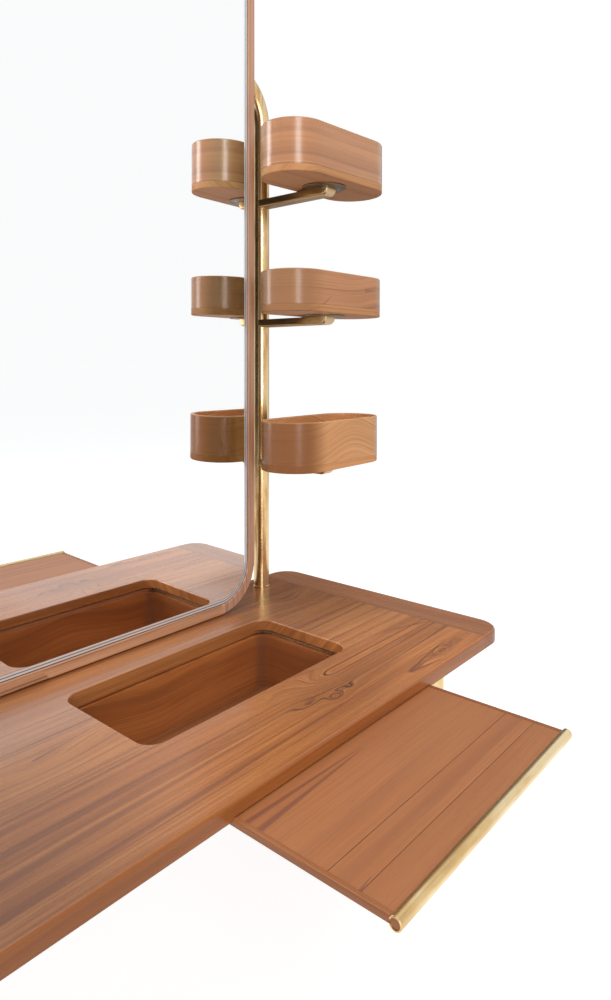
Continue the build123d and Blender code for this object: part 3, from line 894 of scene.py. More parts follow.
@dataclass
class Tabletop:
    """The teak top, glued up from boards along its length between two cross-grained ends.

    Places on it are in metres from its middle.
    """

    end_board: float = 67 * MM
    joints: tuple[float, ...] = (-105 * MM, -16 * MM, 133 * MM)
    tones: tuple[Colour, ...] = (
        (1.0, 0.97, 0.92), (0.98, 1.0, 1.0), (0.95, 0.97, 1.0), (0.84, 0.82, 0.82))
    board_shift: float = 0.413
    seam_band: Spot = (0.2 * MM, 0.3 * MM)
    seam_share: float = 0.55
    seam_relief: float = 0.6
    corner: float = 40 * MM
    # Each figure: place, reach along and across, end of a tongue, lift of the rings, darker lines.
    figures: tuple[Eye | Tongue, ...] = (
        Eye((0.226, -0.189), (0.018, 0.010), 0.034, 1.7),
        Eye((0.262, -0.186), (0.014, 0.008), 0.016, 1.2),
        Eye((0.186, -0.176), (0.026, 0.008), 0.014, 1.2),
        Tongue((0.165, -0.145), (0.120, 0.024), 0.680, 0.050, 2.6),
        Eye((0.150, -0.128), (0.022, 0.007), 0.012, 1.6),
        Eye((0.446, -0.222), (0.026, 0.009), 0.030, 2.6),
        Eye((0.470, 0.096), (0.050, 0.030), 0.022, 0.6),
        Eye((-0.105, -0.048), (0.090, 0.026), 0.020, 0.0),
        Eye((-0.240, -0.080), (0.300, 0.140), 0.0, -0.38),
        Eye((0.460, -0.020), (0.110, 0.080), 0.0, -0.40),
    )
    # Each streak: start, end, half of its width at the start, strength.
    streaks: tuple[Streak, ...] = (
        Streak((0.505, -0.217), (0.340, -0.2230), 13 * MM, 0.5),
        Streak((0.349, -0.2215), (0.500, -0.201), 4.2 * MM, 0.95),
        Streak((0.349, -0.2235), (0.430, -0.238), 4.2 * MM, 0.95),
        Streak((0.350, -0.223), (0.395, -0.223), 8 * MM, 0.75),
        Streak((0.555, -0.009), (0.345, -0.0160), 3.0 * MM),
        Streak((0.530, -0.140), (0.380, -0.088), 2.8 * MM),
        Streak((0.540, 0.030), (0.400, 0.022), 2.4 * MM, 0.7),
        Streak((-0.109, -0.028), (-0.015, -0.014), 3.0 * MM),
        Streak((0.545, -0.176), (0.240, -0.188), 3.2 * MM),
        Streak((0.545, -0.153), (0.262, -0.161), 2.6 * MM),
        Streak((-0.60, -0.116), (0.16, -0.117), 12 * MM, 0.45),
        Streak((-0.60, -0.150), (0.24, -0.143), 16 * MM, 0.55),
        Streak((-0.60, -0.186), (0.22, -0.172), 15 * MM, 0.55),
        Streak((-0.60, -0.222), (0.36, -0.205), 12 * MM, 0.55),
    )
    # Darker edges: partly wear, partly painted shade on the rounded and upright edge.
    edge_wear_and_shade: Colour = (0.25, 0.070, 0.012)
    edge_span: Spot = (5 * MM, 0.5 * MM)
    edge_share: float = 0.6
    # Painted shade: the left part of the top is darkened and cooled.
    left_painted_shade_part: Patch = Patch(x=((0.06, -0.26), (-0.52, -0.34)))
    left_painted_shade: Colour = (0.60, 0.66, 0.84)
    # Painted light: the right front of the top is brightened.
    right_painted_light_part: Patch = Patch(x=((0.26, 0.42),), y=((0.0, -0.08),))
    right_painted_light: Colour = (1.36, 1.40, 1.44)
    matte_front: Patch = Patch(x=((0.16, -0.02),), y=((0.04, -0.05),))
    matte_end: Patch = Patch(x=((0.36, 0.48),), y=((-0.06, 0.02),))
    matte_share: float = 0.72

    def dress(self) -> None:
        """Gives the top its boards, figure and joints, edges darkened partly as wear and partly as painted
        shade, painted shade on its left part and painted light on its right front.
        """
        low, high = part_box("tabletop")
        middle = (low + high) / 2
        half = (high - low) / 2
        teak = Teak("teak_top", figures=self.figures, streaks=self.streaks, ring=5.5 * MM,
                    line_share=0.5, smoke_share=0.32, wave=4 * MM, roughness=0.27,
                    gloss=0.3, coat=1.0)
        shader = Shader(teak.name)
        x, y, z = shader.place((middle.x, middle.y, high.z))
        shift, tone, seams = x * 0.0, self.tones[0], x * 0.0
        for joint, next_tone in zip(self.joints, self.tones[1:]):
            beyond = y.above(joint)
            shift = shift + beyond * self.board_shift
            tone = shader.mix(beyond, tone, next_tone)
            seams = seams.most(y.band(joint, *self.seam_band))
        long_wood = teak.wood(shader, *teak.along_across(x, y, z), shift)
        cross = Teak("cross", grain=Axis.Y, seed=4.0, ring=11 * MM, line_share=0.3,
                     light=(0.50, 0.205, 0.085), deep=(0.38, 0.140, 0.055))
        end_wood = cross.wood(shader, *cross.along_across(x, y, z))
        ends = abs(x).above(half.x - self.end_board)
        seams = seams * (1.0 - ends)
        seams = seams.most(abs(x).band(half.x - self.end_board, *self.seam_band))
        # Paints shade on the left part of the top and light on its right front.
        for part, shade in ((self.left_painted_shade_part, self.left_painted_shade), (self.right_painted_light_part, self.right_painted_light)):
            shaded = shader.mix(1.0, tone, shade, "MULTIPLY")
            tone = shader.mix(part.mask(x, y), tone, shaded)
        toned = shader.mix(1.0, long_wood.colour, tone, "MULTIPLY")
        boards = shader.mix(ends, toned, end_wood.colour)
        seamed = shader.mix(seams * self.seam_share, boards, teak.line)
        # The edge darkening is partly wear and partly painted shade.
        edge = shader.inside(x, y, (half.x, half.y), self.corner).ease(*self.edge_span)
        edge_worn_and_shaded = shader.mix(edge * self.edge_share, seamed, self.edge_wear_and_shade)
        matte = self.matte_front.mask(x, y).most(self.matte_end.mask(x, y))
        polished = (1.0 - edge) * (1.0 - matte * self.matte_share)
        lines = long_wood.lines * (1.0 - ends) + end_wood.lines * ends + seams * self.seam_relief
        lines = lines.least(1.0)
        dress(["tabletop"], teak.finish(shader, Wood(edge_worn_and_shaded, long_wood.pores, lines), polished))


@dataclass
class Well:
    """The lined well in the top."""

    figures: tuple[Arch, ...] = (Arch(-0.085, 0.075, -0.016, 0.15), Arch(0.06, 0.05, 0.006, 0.1))
    corner: float = 16 * MM
    # Painted shade on the end walls and in the corners.
    end_wall_painted_shade: float = 0.3
    corner_painted_shade: float = 0.5

    def dress(self) -> None:
        """Gives the liner's walls and floor their deeper teak, with painted shade on the end walls and in
        the corners.
        """
        middle = middle_of("well_liner_floor")
        walls = Teak("teak_liner_walls", light=(0.56, 0.195, 0.055), deep=(0.36, 0.112, 0.030),
                     smoke=(0.15, 0.055, 0.030), ring=16 * MM, line_share=0.12, smoke_share=0.3,
                     seed=7.0, figures=self.figures, roughness=0.28)
        low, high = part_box("well_liner_walls")
        half = (high - low) / 2
        shader = Shader(walls.name)
        x, y, z = shader.place(tuple(middle))
        wood = walls.wood(shader, x + y, z)
        near = self.corner
        ends = abs(x).ease(half.x - 2 * near, half.x - near)
        sides = abs(y).ease(half.y - 2 * near, half.y - near)
        # Painted shade at the ends and in the corners of the well.
        wood.colour = shader.mix(ends * self.end_wall_painted_shade, wood.colour, walls.smoke)
        wood.colour = shader.mix(ends * sides * self.corner_painted_shade, wood.colour, walls.smoke)
        dress(["well_liner_walls"], walls.finish(shader, wood))
        floor = Teak("teak_liner_floor", light=(0.33, 0.12, 0.040), deep=(0.22, 0.072, 0.023),
                     ring=14 * MM, seed=9.0)
        dress(["well_liner_floor"], floor.material(tuple(middle)))


@dataclass
class SlideTray:
    """The slide tray with its lips, boards and pull rod."""

    seeds: dict[str, float] = field(default_factory=lambda: {
        "tray_board_front": 11.0, "tray_board_middle": 12.3, "tray_board_rear": 13.7})
    streaks: tuple[Streak, ...] = (
        Streak((-0.020, -0.159), (0.190, -0.166), 5 * MM),
        Streak((-0.020, -0.177), (0.190, -0.167), 6 * MM),
        Streak((-0.030, -0.298), (0.010, -0.294), 3 * MM),
    )

    def dress(self) -> None:
        """Gives each board its own piece of teak, and the lips theirs."""
        for node, seed in self.seeds.items():
            low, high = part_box(node)
            teak = Teak(f"teak_{node}", light=(0.445, 0.172, 0.065), deep=(0.380, 0.139, 0.049),
                        smoke=(0.22, 0.075, 0.042), ring=18 * MM, line_share=0.05, smoke_share=0.2,
                        streaks=self.streaks, seams=(low.y, high.y), seed=seed, roughness=0.4)
            dress([node], teak.material((0.0, 0.0, high.z)))
        lips = Teak("teak_tray_lip", grain=Axis.Y, ring=7 * MM, line_share=0.3, seed=15.0,
                    light=(0.40, 0.15, 0.05), deep=(0.29, 0.10, 0.034))
        dress(["tray_lip_left", "tray_lip_right"], lips.material())


@dataclass
class Stand:
    """Posts, crossbar, legs, flanges and arms in brass, with the plain wood under the top."""

    tip: float = 15 * MM
    tip_wear_and_highlight_share: float = 0.4

    def dress(self) -> None:
        """Gives the metal and the hidden wood their finishes."""
        dress(["right_post", "left_post", "post_collars", "rear_flanges", "mirror_foot_brackets",
               "pivot_bolts", "pivot_washers"], Brass("brass_aged", tarnish_share=0.85).material())
        dress(["crossbar", "crossbar_spigots", "mirror_straps"],
              Brass("brass_aged_bar", stretch=Axis.X).material())
        for arm in ("arm_top", "arm_middle", "arm_lower"):
            self.dress_arm(arm)
        satin = {"bright": (0.80, 0.64, 0.38), "warm": (0.70, 0.48, 0.22),
                 "tarnish": (0.30, 0.17, 0.075), "tarnish_share": 0.5, "roughness": 0.3}
        dress(["front_leg_left", "front_leg_right", "front_flanges", "tray_stop_pins"],
              Brass("brass_satin", **satin).material())
        dress(["pull_rod"], Brass("brass_rod", stretch=Axis.X, **satin).material())
        dress(["foot_glides"], Rubber().material())
        plain = Teak("hardwood", light=(0.42, 0.26, 0.14), deep=(0.34, 0.20, 0.10),
                     smoke=(0.25, 0.14, 0.07), line=(0.20, 0.10, 0.05), line_share=0.3,
                     roughness=0.55, gloss=0.25)
        dress(["runner_left", "runner_right", "rear_rail", "mirror_saddles"], plain.material())

    def dress_arm(self, arm: str) -> None:
        """Gives an arm its dark brass, brighter at the turned-up tip partly as wear from hands and partly
        as a painted highlight.

        Args:
            arm: the arm's node.
        """
        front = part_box(arm)[0].y
        dark = Brass(f"brass_{arm}", bright=(0.38, 0.225, 0.090), warm=(0.28, 0.150, 0.056),
                     tarnish=(0.12, 0.062, 0.026), stretch=Axis.Y, roughness=0.3,
                     wear_and_highlight=(0.50, 0.35, 0.19))
        # The tip is brighter partly as wear from hands and partly as a painted highlight.
        tip_wear_and_highlight_span = (front + self.tip, front + self.tip_wear_and_highlight_share * self.tip)
        dress([arm], dark.material(lambda x, y, z: y.ease(*tip_wear_and_highlight_span)))


@dataclass
class MirrorUnit:
    """The mirror: frame of joined teak pieces, back panel and bevelled glass."""

    glass_corner: float = 62.95 * MM
    bevel: float = 9 * MM

    def dress(self) -> None:
        """Gives the frame, panel and glass their finishes."""
        slim = {"ring": 4.5 * MM, "line_share": 0.5, "smoke_share": 0.7}
        stiles = Teak("teak_stile", grain=Axis.Z, seed=21.0, light=(0.62, 0.345, 0.215),
                      deep=(0.42, 0.210, 0.125), smoke=(0.24, 0.105, 0.070), **slim)
        dress(["mirror_stile_left", "mirror_stile_right", "mirror_corner_blocks"], stiles.material())
        for index, node in enumerate(("mirror_rail_bottom_left", "mirror_rail_bottom_right",
                                      "mirror_rail_top_left", "mirror_rail_top_right")):
            rail = Teak(f"teak_{node}", seed=23.0 + index, light=(0.60, 0.315, 0.175),
                        deep=(0.42, 0.195, 0.100), smoke=(0.22, 0.085, 0.045), **slim)
            dress([node], rail.material())
        back = Teak("plywood", light=(0.54, 0.38, 0.23), deep=(0.46, 0.30, 0.17),
                    smoke=(0.38, 0.24, 0.13), line=(0.30, 0.18, 0.09), grain=Axis.Z,
                    ring=22 * MM, line_share=0.3, roughness=0.6, gloss=0.25, seed=27.0)
        dress(["mirror_back_panel"], back.material())
        low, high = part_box("mirror_glass")
        dress(["mirror_glass"], Silvering().material(low, high, self.glass_corner, self.bevel))


@dataclass
class SwivelBox:
    """One round-ended box on its swivel."""

    place: str
    turn: float
    seed: float
    light: Colour = (0.57, 0.262, 0.116)
    deep: Colour = (0.46, 0.195, 0.080)
    base_light: Colour = (0.60, 0.30, 0.135)
    figures: tuple[Arch | Eye, ...] = ()
    streaks: tuple[Streak, ...] = ()
    line_share: float = 0.4
    smoke_share: float = 0.3
    # Painted shade on the left end of the box: its share and colour.
    left_end_shade_share: float = 0.0
    left_end_painted_shade: Colour = (0.20, 0.070, 0.022)
    # Painted shade on the back of the box, as a tint that its colour is multiplied by.
    back: Colour = (0.82, 0.98, 0.85)
    gloss: float = 0.5
    coat: float = 0.0
    half_core: float = 75 * MM
    end_radius: float = 59 * MM
    outer_skin: Spot = (5 * MM, 3 * MM)
    left_end_shade_span: Spot = (-0.75, -1.45)
    painted_back_shade_reach: float = 0.6
    rim: float = 3 * MM
    rim_share: float = 0.35
    joint_line: Spot = (0.7 * MM, 0.2 * MM)
    joint_share: float = 0.6
    disc_rim: float = 38.6 * MM
    disc_wear_and_highlight: float = 1 * MM

    def round_wall(self, x: Field, y: Field) -> tuple[Field, Field]:
        """Follows the wall of the box.

        Args:
            x: coordinate along the box.
            y: coordinate across it.

        Returns:
            The way around the wall from the middle of its front, and the distance from its core line.
        """
        core = x.least(self.half_core).most(-self.half_core)
        around = core + (x - core).angle(abs(y)) * self.end_radius
        return around, ((x - core) * (x - core) + y * y).sqrt()

    def shaded(self, shader: Shader, colour: Field, x: Field, y: Field) -> Field:
        """Paints shade on the left end and on the back of the box, on its outside.

        Args:
            shader: the material being made.
            colour: the colour of the wood.
            x: coordinate along the box.
            y: coordinate across it.

        Returns:
            The colour with its painted shade.
        """
        around, out = self.round_wall(x, y)
        outer = out.ease(*(self.end_radius - depth for depth in self.outer_skin))
        # Painted shade on the left end of the box's outside.
        left_end_painted_shade = around.ease(*(share * self.half_core for share in self.left_end_shade_span)) * outer * self.left_end_shade_share
        left_end_shaded = shader.mix(left_end_painted_shade, colour, self.left_end_painted_shade)
        # Painted shade on the back of the box's outside.
        painted_back_shade = y.ease(0.0, self.painted_back_shade_reach * self.end_radius) * outer
        return shader.mix(painted_back_shade, left_end_shaded, shader.mix(1.0, left_end_shaded, self.back, "MULTIPLY"))

    def dress(self) -> None:
        """Gives the box its wall, base and brass."""
        centre = middle_of(f"box_{self.place}_wall")
        self.dress_wall(centre)
        self.dress_base(centre)
        self.dress_disc()

    def dress_wall(self, centre: Vector) -> None:
        """Gives the wall its bent teak, lighter at the rim and dark where it meets the base.

        Args:
            centre: the middle of the wall.
        """
        wall = f"box_{self.place}_wall"
        teak = Teak(f"teak_{wall}", light=self.light, deep=self.deep, smoke=(0.24, 0.10, 0.052),
                    ring=10 * MM, line_share=self.line_share, smoke_share=self.smoke_share, wave=3 * MM,
                    figures=self.figures, streaks=self.streaks, seed=self.seed,
                    roughness=0.24, gloss=self.gloss, coat=self.coat)
        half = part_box(wall)[1].z - centre.z
        shader = Shader(teak.name)
        x, y, z = shader.place(tuple(centre), self.turn)
        around, _ = self.round_wall(x, y)
        wood = teak.wood(shader, around, z)
        wood.colour = self.shaded(shader, wood.colour, x, y)
        rim = z.ease(half - self.rim, half)
        wood.colour = shader.mix(rim * self.rim_share, wood.colour, self.base_light)
        joint = z.ease(*(height - half for height in self.joint_line))
        wood.colour = shader.mix(joint * self.joint_share, wood.colour, teak.line)
        dress([wall], teak.finish(shader, wood))

    def dress_base(self, centre: Vector) -> None:
        """Gives the base its lighter teak.

        Args:
            centre: the middle of the wall.
        """
        base = f"box_{self.place}_base"
        lighter = Teak(f"teak_{base}", light=self.base_light, deep=self.light, ring=12 * MM,
                       smoke=(0.30, 0.13, 0.06), line_share=0.25, seed=self.seed + 1.0, gloss=0.08,
                       roughness=0.5)
        shader = Shader(lighter.name)
        x, y, z = shader.place(tuple(centre), self.turn)
        wood = lighter.wood(shader, *lighter.along_across(x, y, z))
        wood.colour = self.shaded(shader, wood.colour, x, y)
        dress([base], lighter.finish(shader, wood))

    def dress_disc(self) -> None:
        """Gives the swivel disc and its bush their dark brass, partly tarnish and partly painted shade,
        brighter at the rim partly as wear and partly as a painted highlight.
        """
        disc = f"box_{self.place}_swivel_disc"
        hub = middle_of(disc)
        # Dark brass, partly tarnish and partly painted shade under the box.
        metal = Brass(f"brass_{self.place}_swivel", bright=(0.12, 0.070, 0.034), warm=(0.08, 0.045, 0.022),
                      tarnish=(0.035, 0.020, 0.011), roughness=0.36, wear_and_highlight=(0.20, 0.12, 0.06))

        def rim_wear_and_highlight(x: Field, y: Field, z: Field) -> Field:
            """1 at the disc's rim, brighter partly as wear from the box's turning and partly as a painted
            highlight.
            """
            out = ((x - hub.x) * (x - hub.x) + (y - hub.y) * (y - hub.y)).sqrt()
            return out.ease(self.disc_rim, self.disc_rim + self.disc_wear_and_highlight)

        # The rim is brighter partly as wear and partly as a painted highlight.
        dress([disc, f"box_{self.place}_bush"], metal.material(rim_wear_and_highlight))


BOXES = (
    SwivelBox("top", turn=-3.0, seed=31.0, coat=0.4),
    SwivelBox(
        # Painted shade on the left end and on the back of this box.
        "middle", turn=-1.0, seed=35.0, left_end_shade_share=0.75, left_end_painted_shade=(0.30, 0.145, 0.065),
        back=(0.58, 0.60, 0.42), gloss=0.35,
        figures=(Arch(0.09, 0.05, -0.012),),
        streaks=(
            Streak((0.048, 0.002), (0.085, 0.006), 6 * MM, 0.55),
            Streak((0.080, -0.028), (0.105, 0.022), 4 * MM, 0.5),
            Streak((0.096, 0.006), (0.125, 0.026), 4 * MM, 0.5),
            Streak((-0.070, -0.030), (-0.040, -0.010), 4 * MM, 0.5),
        ),
    ),
    SwivelBox(
        # Painted shade on the left end and on the back of this box.
        "lower", turn=2.2, seed=39.0, left_end_shade_share=0.85, back=(0.74, 0.76, 0.52), gloss=0.22,
        # This box's lighter wood is partly painted light on its lit face.
        light=(0.76, 0.375, 0.158), deep=(0.62, 0.285, 0.112), base_light=(0.70, 0.335, 0.140),
        line_share=0.22, smoke_share=0.15,
        figures=(Arch(0.012, 0.075, -0.030),),
    ),
)


class Head(Enum):
    """The form of a screw's head."""

    PAN = "pan"
    FLUSH = "flush"


@dataclass
class SlottedScrews:
    """Slotted wood screws in the places of a node's plain ones."""

    node: str
    head: Head
    slot: str
    finish: bpy.types.Material
    sides: int = 32
    slot_width: float = 0.9 * MM
    slot_depth: float = 1.1 * MM
    dome: float = 0.6 * MM
    dome_steps: int = 3
    point_share: float = 0.2
    point_width: float = 0.15
    flat: float = 0.9
    smooth_angle: float = 35.0
    step_turn: float = 37.0
    merging: float = 0.01 * MM

    def build(self) -> None:
        """Models one screw, copies it to every place and lets it stand for the node."""
        places = self.places()
        first = self.model(*places[0][1:])
        copies = []
        for index, (stand, *_) in enumerate(places):
            copy = first.copy()
            copy.data = first.data.copy()
            turn = Matrix.Rotation(math.radians(self.step_turn * index), 4, "Z")
            copy.data.transform(stand @ turn)
            bpy.context.scene.collection.objects.link(copy)
            copies.append(copy)
        bpy.data.objects.remove(first)
        choose(*copies)
        bpy.ops.object.join()
        piece = bpy.context.object
        piece.name = f"{self.node}_slotted"
        piece.data.materials.clear()
        piece.data.materials.append(self.finish)
        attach(piece, self.body())
        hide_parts(self.node)
        LOG.info("%s: %d slotted screws in %s", piece.name, len(copies), self.finish.name)

    def body(self) -> str:
        """The body that carries the node."""
        bodies = frame["record"]["behaviour"]["bodies"]
        return next(name for name, members in bodies.items() if self.node in members)

    def places(self) -> list[tuple[Matrix, float, float, float, float]]:
        """Finds each screw of the node.

        Returns:
            For each screw, its stand (the head's face at the origin, looking along +Z), its
            length, and the radii of its head and shank and the height of its head.
        """
        whole = frame["nodes"][self.node].copy()
        whole.data = whole.data.copy()
        whole.parent = None
        bpy.context.scene.collection.objects.link(whole)
        choose(whole)
        bpy.ops.object.mode_set(mode="EDIT")
        bpy.ops.mesh.select_all(action="SELECT")
        bpy.ops.mesh.remove_doubles(threshold=self.merging)
        bpy.ops.mesh.separate(type="LOOSE")
        bpy.ops.object.mode_set(mode="OBJECT")
        screws = list(bpy.context.selected_objects)
        found = [self.measure([vertex.co.copy() for vertex in screw.data.vertices]) for screw in screws]
        for screw in screws:
            bpy.data.objects.remove(screw)
        return sorted(found, key=lambda place: tuple(round(value, 4) for value in place[0].translation))

    @staticmethod
    def measure(points: list[Vector]) -> tuple[Matrix, float, float, float, float]:
        """Measures one screw from its points.

        Args:
            points: the screw's points.

        Returns:
            What places() gives for each screw.
        """
        low = Vector([min(point[axis] for point in points) for axis in range(3)])
        high = Vector([max(point[axis] for point in points) for axis in range(3)])
        middle = (low + high) / 2
        long_axis = max(range(3), key=lambda axis: high[axis] - low[axis])
        line = Vector([float(axis == long_axis) for axis in range(3)])
        outs = [((point - middle) - line * (point - middle).dot(line)).length for point in points]
        head_rim, shank_least = 0.95 * max(outs), 0.2 * max(outs)
        wide = [(point - middle).dot(line) for point, out in zip(points, outs) if out > head_rim]
        thin = [out for out in outs if out > shank_least]
        length = high[long_axis] - low[long_axis]
        side = 1.0 if sum(wide) > 0.0 else -1.0
        face = middle + line * (side * length / 2)
        stand = Matrix.Translation(face) @ (line * side).to_track_quat("Z", "Y").to_matrix().to_4x4()
        return stand, length, max(outs), min(thin), max(max(wide) - min(wide), 1.0 * MM)

    def model(self, length: float, head: float, shank: float, height: float) -> bpy.types.Object:
        """Models one screw with its head's face at the origin.

        Args:
            length: the whole length.
            head: radius of the head.
            shank: radius of the shank.
            height: height of the head.

        Returns:
            The screw.
        """
        choose()
        if self.head is Head.PAN:
            bpy.ops.mesh.primitive_cylinder_add(vertices=self.sides, radius=head, depth=height,
                                                location=(0.0, 0.0, -height / 2))
        else:
            height = head - shank
            bpy.ops.mesh.primitive_cone_add(vertices=self.sides, radius1=shank, radius2=head,
                                            depth=height, location=(0.0, 0.0, -height / 2))
        screw = bpy.context.object
        bpy.ops.object.transform_apply(location=True, rotation=True, scale=True)
        bpy.ops.object.mode_set(mode="EDIT")
        if self.head is Head.PAN:
            self.pick(screw, lambda normal: normal.z > self.flat)
            bpy.ops.mesh.bevel(offset=self.dome, segments=self.dome_steps, affect="EDGES")
        self.pick(screw, lambda normal: normal.z < -self.flat)
        if self.head is Head.PAN:
            bpy.ops.mesh.inset(thickness=head - shank)
        point = self.point_share * length
        for drop in (length - point - height, point):
            bpy.ops.mesh.extrude_region_move(TRANSFORM_OT_translate={"value": (0.0, 0.0, -drop)})
        bpy.ops.transform.resize(value=(self.point_width, self.point_width, 1.0))
        bpy.ops.object.mode_set(mode="OBJECT")
        self.cut_slot(screw, head)
        bpy.ops.object.shade_smooth_by_angle(angle=math.radians(self.smooth_angle))
        return screw

    @staticmethod
    def pick(piece: bpy.types.Object, wanted: Callable[[Vector], bool]) -> None:
        """Selects the faces of a piece in edit mode by their normals.

        Args:
            piece: the piece.
            wanted: tells by its normal whether a face is taken.
        """
        bpy.ops.mesh.select_all(action="DESELECT")
        bpy.ops.object.mode_set(mode="OBJECT")
        for face in piece.data.polygons:
            face.select = wanted(face.normal)
        bpy.ops.object.mode_set(mode="EDIT")
        bpy.ops.mesh.select_mode(type="FACE")

    def cut_slot(self, screw: bpy.types.Object, head: float) -> None:
        """Cuts the driver's slot across the head.

        Args:
            screw: the screw.
            head: radius of its head.
        """
        choose()
        bpy.ops.mesh.primitive_cube_add(size=1.0)
        blade = bpy.context.object
        blade.scale = (3 * head, self.slot_width, 2 * self.slot_depth)
        bpy.ops.object.transform_apply(scale=True)
        choose(screw)
        cut = screw.modifiers.new("driver_slot", "BOOLEAN")
        cut.object = blade
        cut.operation = "DIFFERENCE"
        cut.solver = "EXACT"
        bpy.ops.object.modifier_apply(modifier=cut.name)
        bpy.data.objects.remove(blade)


class Panel(Enum):
    """What a stage panel does to reflections."""

    DARK = 0.05
    DIM = 0.15


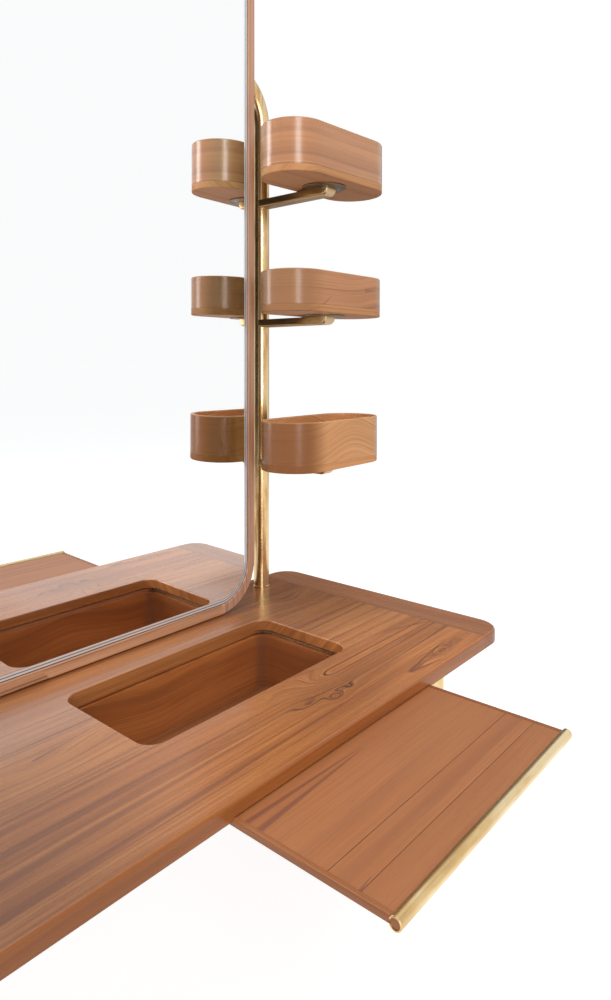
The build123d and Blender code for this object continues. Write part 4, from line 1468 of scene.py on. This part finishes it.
@dataclass
class Studio:
    """White floor, soft light and the camera of the picture."""

    eye: Point = (-0.50294, -0.6509, 0.815)
    heading: float = -49.485
    lens: float = 25.13
    shift: Spot = (0.0005, -0.1366)
    floor_size: float = 60.0
    floor_grey: float = 0.5
    floor_speck: float = 0.01
    floor_grain: float = 3.0
    floor_rough: float = 0.9
    ambient: float = 0.42
    panel_grain: float = 4.0
    panel_warmth: float = 0.1
    sensor: float = 36.0
    sight: Spot = (0.01, 200.0)

    def build(self) -> None:
        """Makes the floor, world, lamps, panels and camera."""
        self.floor()
        self.world()
        self.lamp("overhead_softbox", at=(0.3, -0.5, 3.3), aim=(0.2, 0.0, 0.4), size=(2.4, 2.0), power=40.0)
        self.lamp("front_softbox", at=(-1.3, -2.1, 1.4), aim=(0.45, 0.14, 0.9), size=(0.8, 2.2), power=42.0)
        self.panel("right_back_panel", Panel.DIM, at=(3.2, 2.6, 1.7), size=(4.6, 3.8), turn=-50.0)
        self.panel("left_back_panel", Panel.DARK, at=(-2.3, 2.2, 1.2), size=(4.3, 3.8), turn=52.0)
        self.panel("ceiling_panel", Panel.DIM, at=(-0.4, -0.6, 4.3), size=(6.0, 6.0), tilt=0.0)
        self.camera()

    @staticmethod
    def seeing_rays(tree: bpy.types.NodeTree) -> bpy.types.NodeSocket:
        """Picks the rays that see the stage: camera, glossy and transmission rays.

        Args:
            tree: the node tree.

        Returns:
            A socket that is 1 for those rays.
        """
        path = tree.nodes.new("ShaderNodeLightPath")
        seen = path.outputs["Is Camera Ray"]
        for ray in ("Is Glossy Ray", "Is Transmission Ray"):
            either = tree.nodes.new("ShaderNodeMath")
            either.operation = "MAXIMUM"
            tree.links.new(seen, either.inputs[0])
            tree.links.new(path.outputs[ray], either.inputs[1])
            seen = either.outputs[0]
        return seen

    def floor(self) -> None:
        """Makes the pale floor, which is white to the eye and keeps the shadow."""
        choose()
        bpy.ops.mesh.primitive_plane_add(size=self.floor_size)
        floor = bpy.context.object
        floor.name = "studio_floor"
        shader = Shader("studio_floor")
        speck = shader.noise(shader.vector(*shader.place()), self.floor_grain)
        grey = self.floor_grey
        shader.set(Base_Color=shader.mix(speck, (grey,) * 3, (grey + self.floor_speck,) * 3),
                   Roughness=self.floor_rough, Specular_IOR_Level=0.0)
        seen = Field(shader, self.seeing_rays(shader.tree))
        white = 1.0 - self.ambient * grey
        glow = shader.node("ShaderNodeEmission", {}, {"Strength": seen * white})
        both = shader.node("ShaderNodeAddShader", {},
                           {0: Field(shader, shader.surface.outputs["BSDF"]), 1: glow})
        output = next(node for node in shader.tree.nodes if node.type == "OUTPUT_MATERIAL")
        shader.tree.links.new(both.socket, output.inputs["Surface"])
        floor.data.materials.append(shader.material)

    def world(self) -> None:
        """Makes the surroundings: white to the eye and in reflections, softer as light."""
        world = bpy.data.worlds.new("studio")
        bpy.context.scene.world = world
        world.use_nodes = True
        tree = world.node_tree
        tree.nodes.clear()
        mixed = tree.nodes.new("ShaderNodeMixShader")
        tree.links.new(self.seeing_rays(tree), mixed.inputs[0])
        for index, strength in ((1, self.ambient), (2, 1.0)):
            light = tree.nodes.new("ShaderNodeBackground")
            light.inputs["Color"].default_value = (1.0, 1.0, 1.0, 1.0)
            light.inputs["Strength"].default_value = strength
            tree.links.new(light.outputs[0], mixed.inputs[index])
        output = tree.nodes.new("ShaderNodeOutputWorld")
        tree.links.new(mixed.outputs[0], output.inputs["Surface"])

    def panel(self, name: str, shade: Panel, at: Point, size: Spot, turn: float = 0.0,
              tilt: float = 90.0) -> None:
        """Stands a dark panel that only reflections see, so that metal has something to reflect.

        Args:
            name: its name.
            shade: how dark it is.
            at: its middle.
            size: its width and height.
            turn: the way it faces, in degrees about Z.
            tilt: 90 degrees where it stands, 0 where it lies flat.
        """
        choose()
        bpy.ops.mesh.primitive_plane_add(size=1.0, location=at,
                                         rotation=(math.radians(tilt), 0.0, math.radians(turn)))
        panel = bpy.context.object
        panel.name = name
        panel.scale = (*size, 1.0)
        shader = Shader(name)
        weave = shader.noise(shader.vector(*shader.place()), self.panel_grain)
        grey = shade.value
        warmer = (grey * (1.0 + self.panel_warmth), grey, grey * (1.0 - self.panel_warmth))
        shader.set(Base_Color=(0.0, 0.0, 0.0), Specular_IOR_Level=0.0, Emission_Strength=1.0,
                   Emission_Color=shader.mix(weave, (grey,) * 3, warmer))
        panel.data.materials.append(shader.material)
        for ray in ("camera", "diffuse", "transmission", "shadow", "volume_scatter"):
            setattr(panel, f"visible_{ray}", False)

    def lamp(self, name: str, at: Point, aim: Point, size: Spot, power: float) -> None:
        """Adds a softbox.

        Args:
            name: its name.
            at: where it stands.
            aim: the point that it faces.
            size: its width and height.
            power: its power in watts.
        """
        light = bpy.data.lights.new(name, "AREA")
        light.shape = "RECTANGLE"
        light.size, light.size_y = size
        light.energy = power
        lamp = bpy.data.objects.new(name, light)
        bpy.context.scene.collection.objects.link(lamp)
        lamp.location = at
        lamp.rotation_mode = "QUATERNION"
        lamp.rotation_quaternion = (Vector(aim) - Vector(at)).to_track_quat("-Z", "Y")

    def camera(self) -> None:
        """Places the camera at the picture's viewing angle."""
        data = bpy.data.cameras.new("camera")
        data.lens = self.lens
        data.sensor_width = self.sensor
        data.shift_x, data.shift_y = self.shift
        data.clip_start, data.clip_end = self.sight
        camera = bpy.data.objects.new("camera", data)
        bpy.context.scene.collection.objects.link(camera)
        camera.location = self.eye
        camera.rotation_euler = (math.radians(90.0), 0.0, math.radians(self.heading))
        bpy.context.scene.camera = camera
        bpy.context.scene.view_settings.view_transform = "Standard"


def fit_screws() -> None:
    """Puts slotted screws in the places of the plain ones."""
    steel = Steel().material()
    brass = Brass("brass_screw", bright=(0.45, 0.30, 0.14), warm=(0.33, 0.20, 0.09)).material()
    SlottedScrews("runner_screws", Head.FLUSH, "screw_steel", steel).build()
    for node in ("flange_screws", "mirror_screws"):
        SlottedScrews(node, Head.PAN, "screw_steel", steel).build()
    for box in BOXES:
        SlottedScrews(f"box_{box.place}_disc_screws", Head.FLUSH, "brass_aged", brass).build()


def main() -> None:
    """Builds and dresses the sub-assemblies in order."""
    logging.basicConfig(level=logging.INFO, format="%(name)s: %(message)s")
    Tabletop().dress()
    Well().dress()
    SlideTray().dress()
    Stand().dress()
    MirrorUnit().dress()
    for box in BOXES:
        box.dress()
    fit_screws()
    Studio().build()


if __name__ == "__main__":
    main()
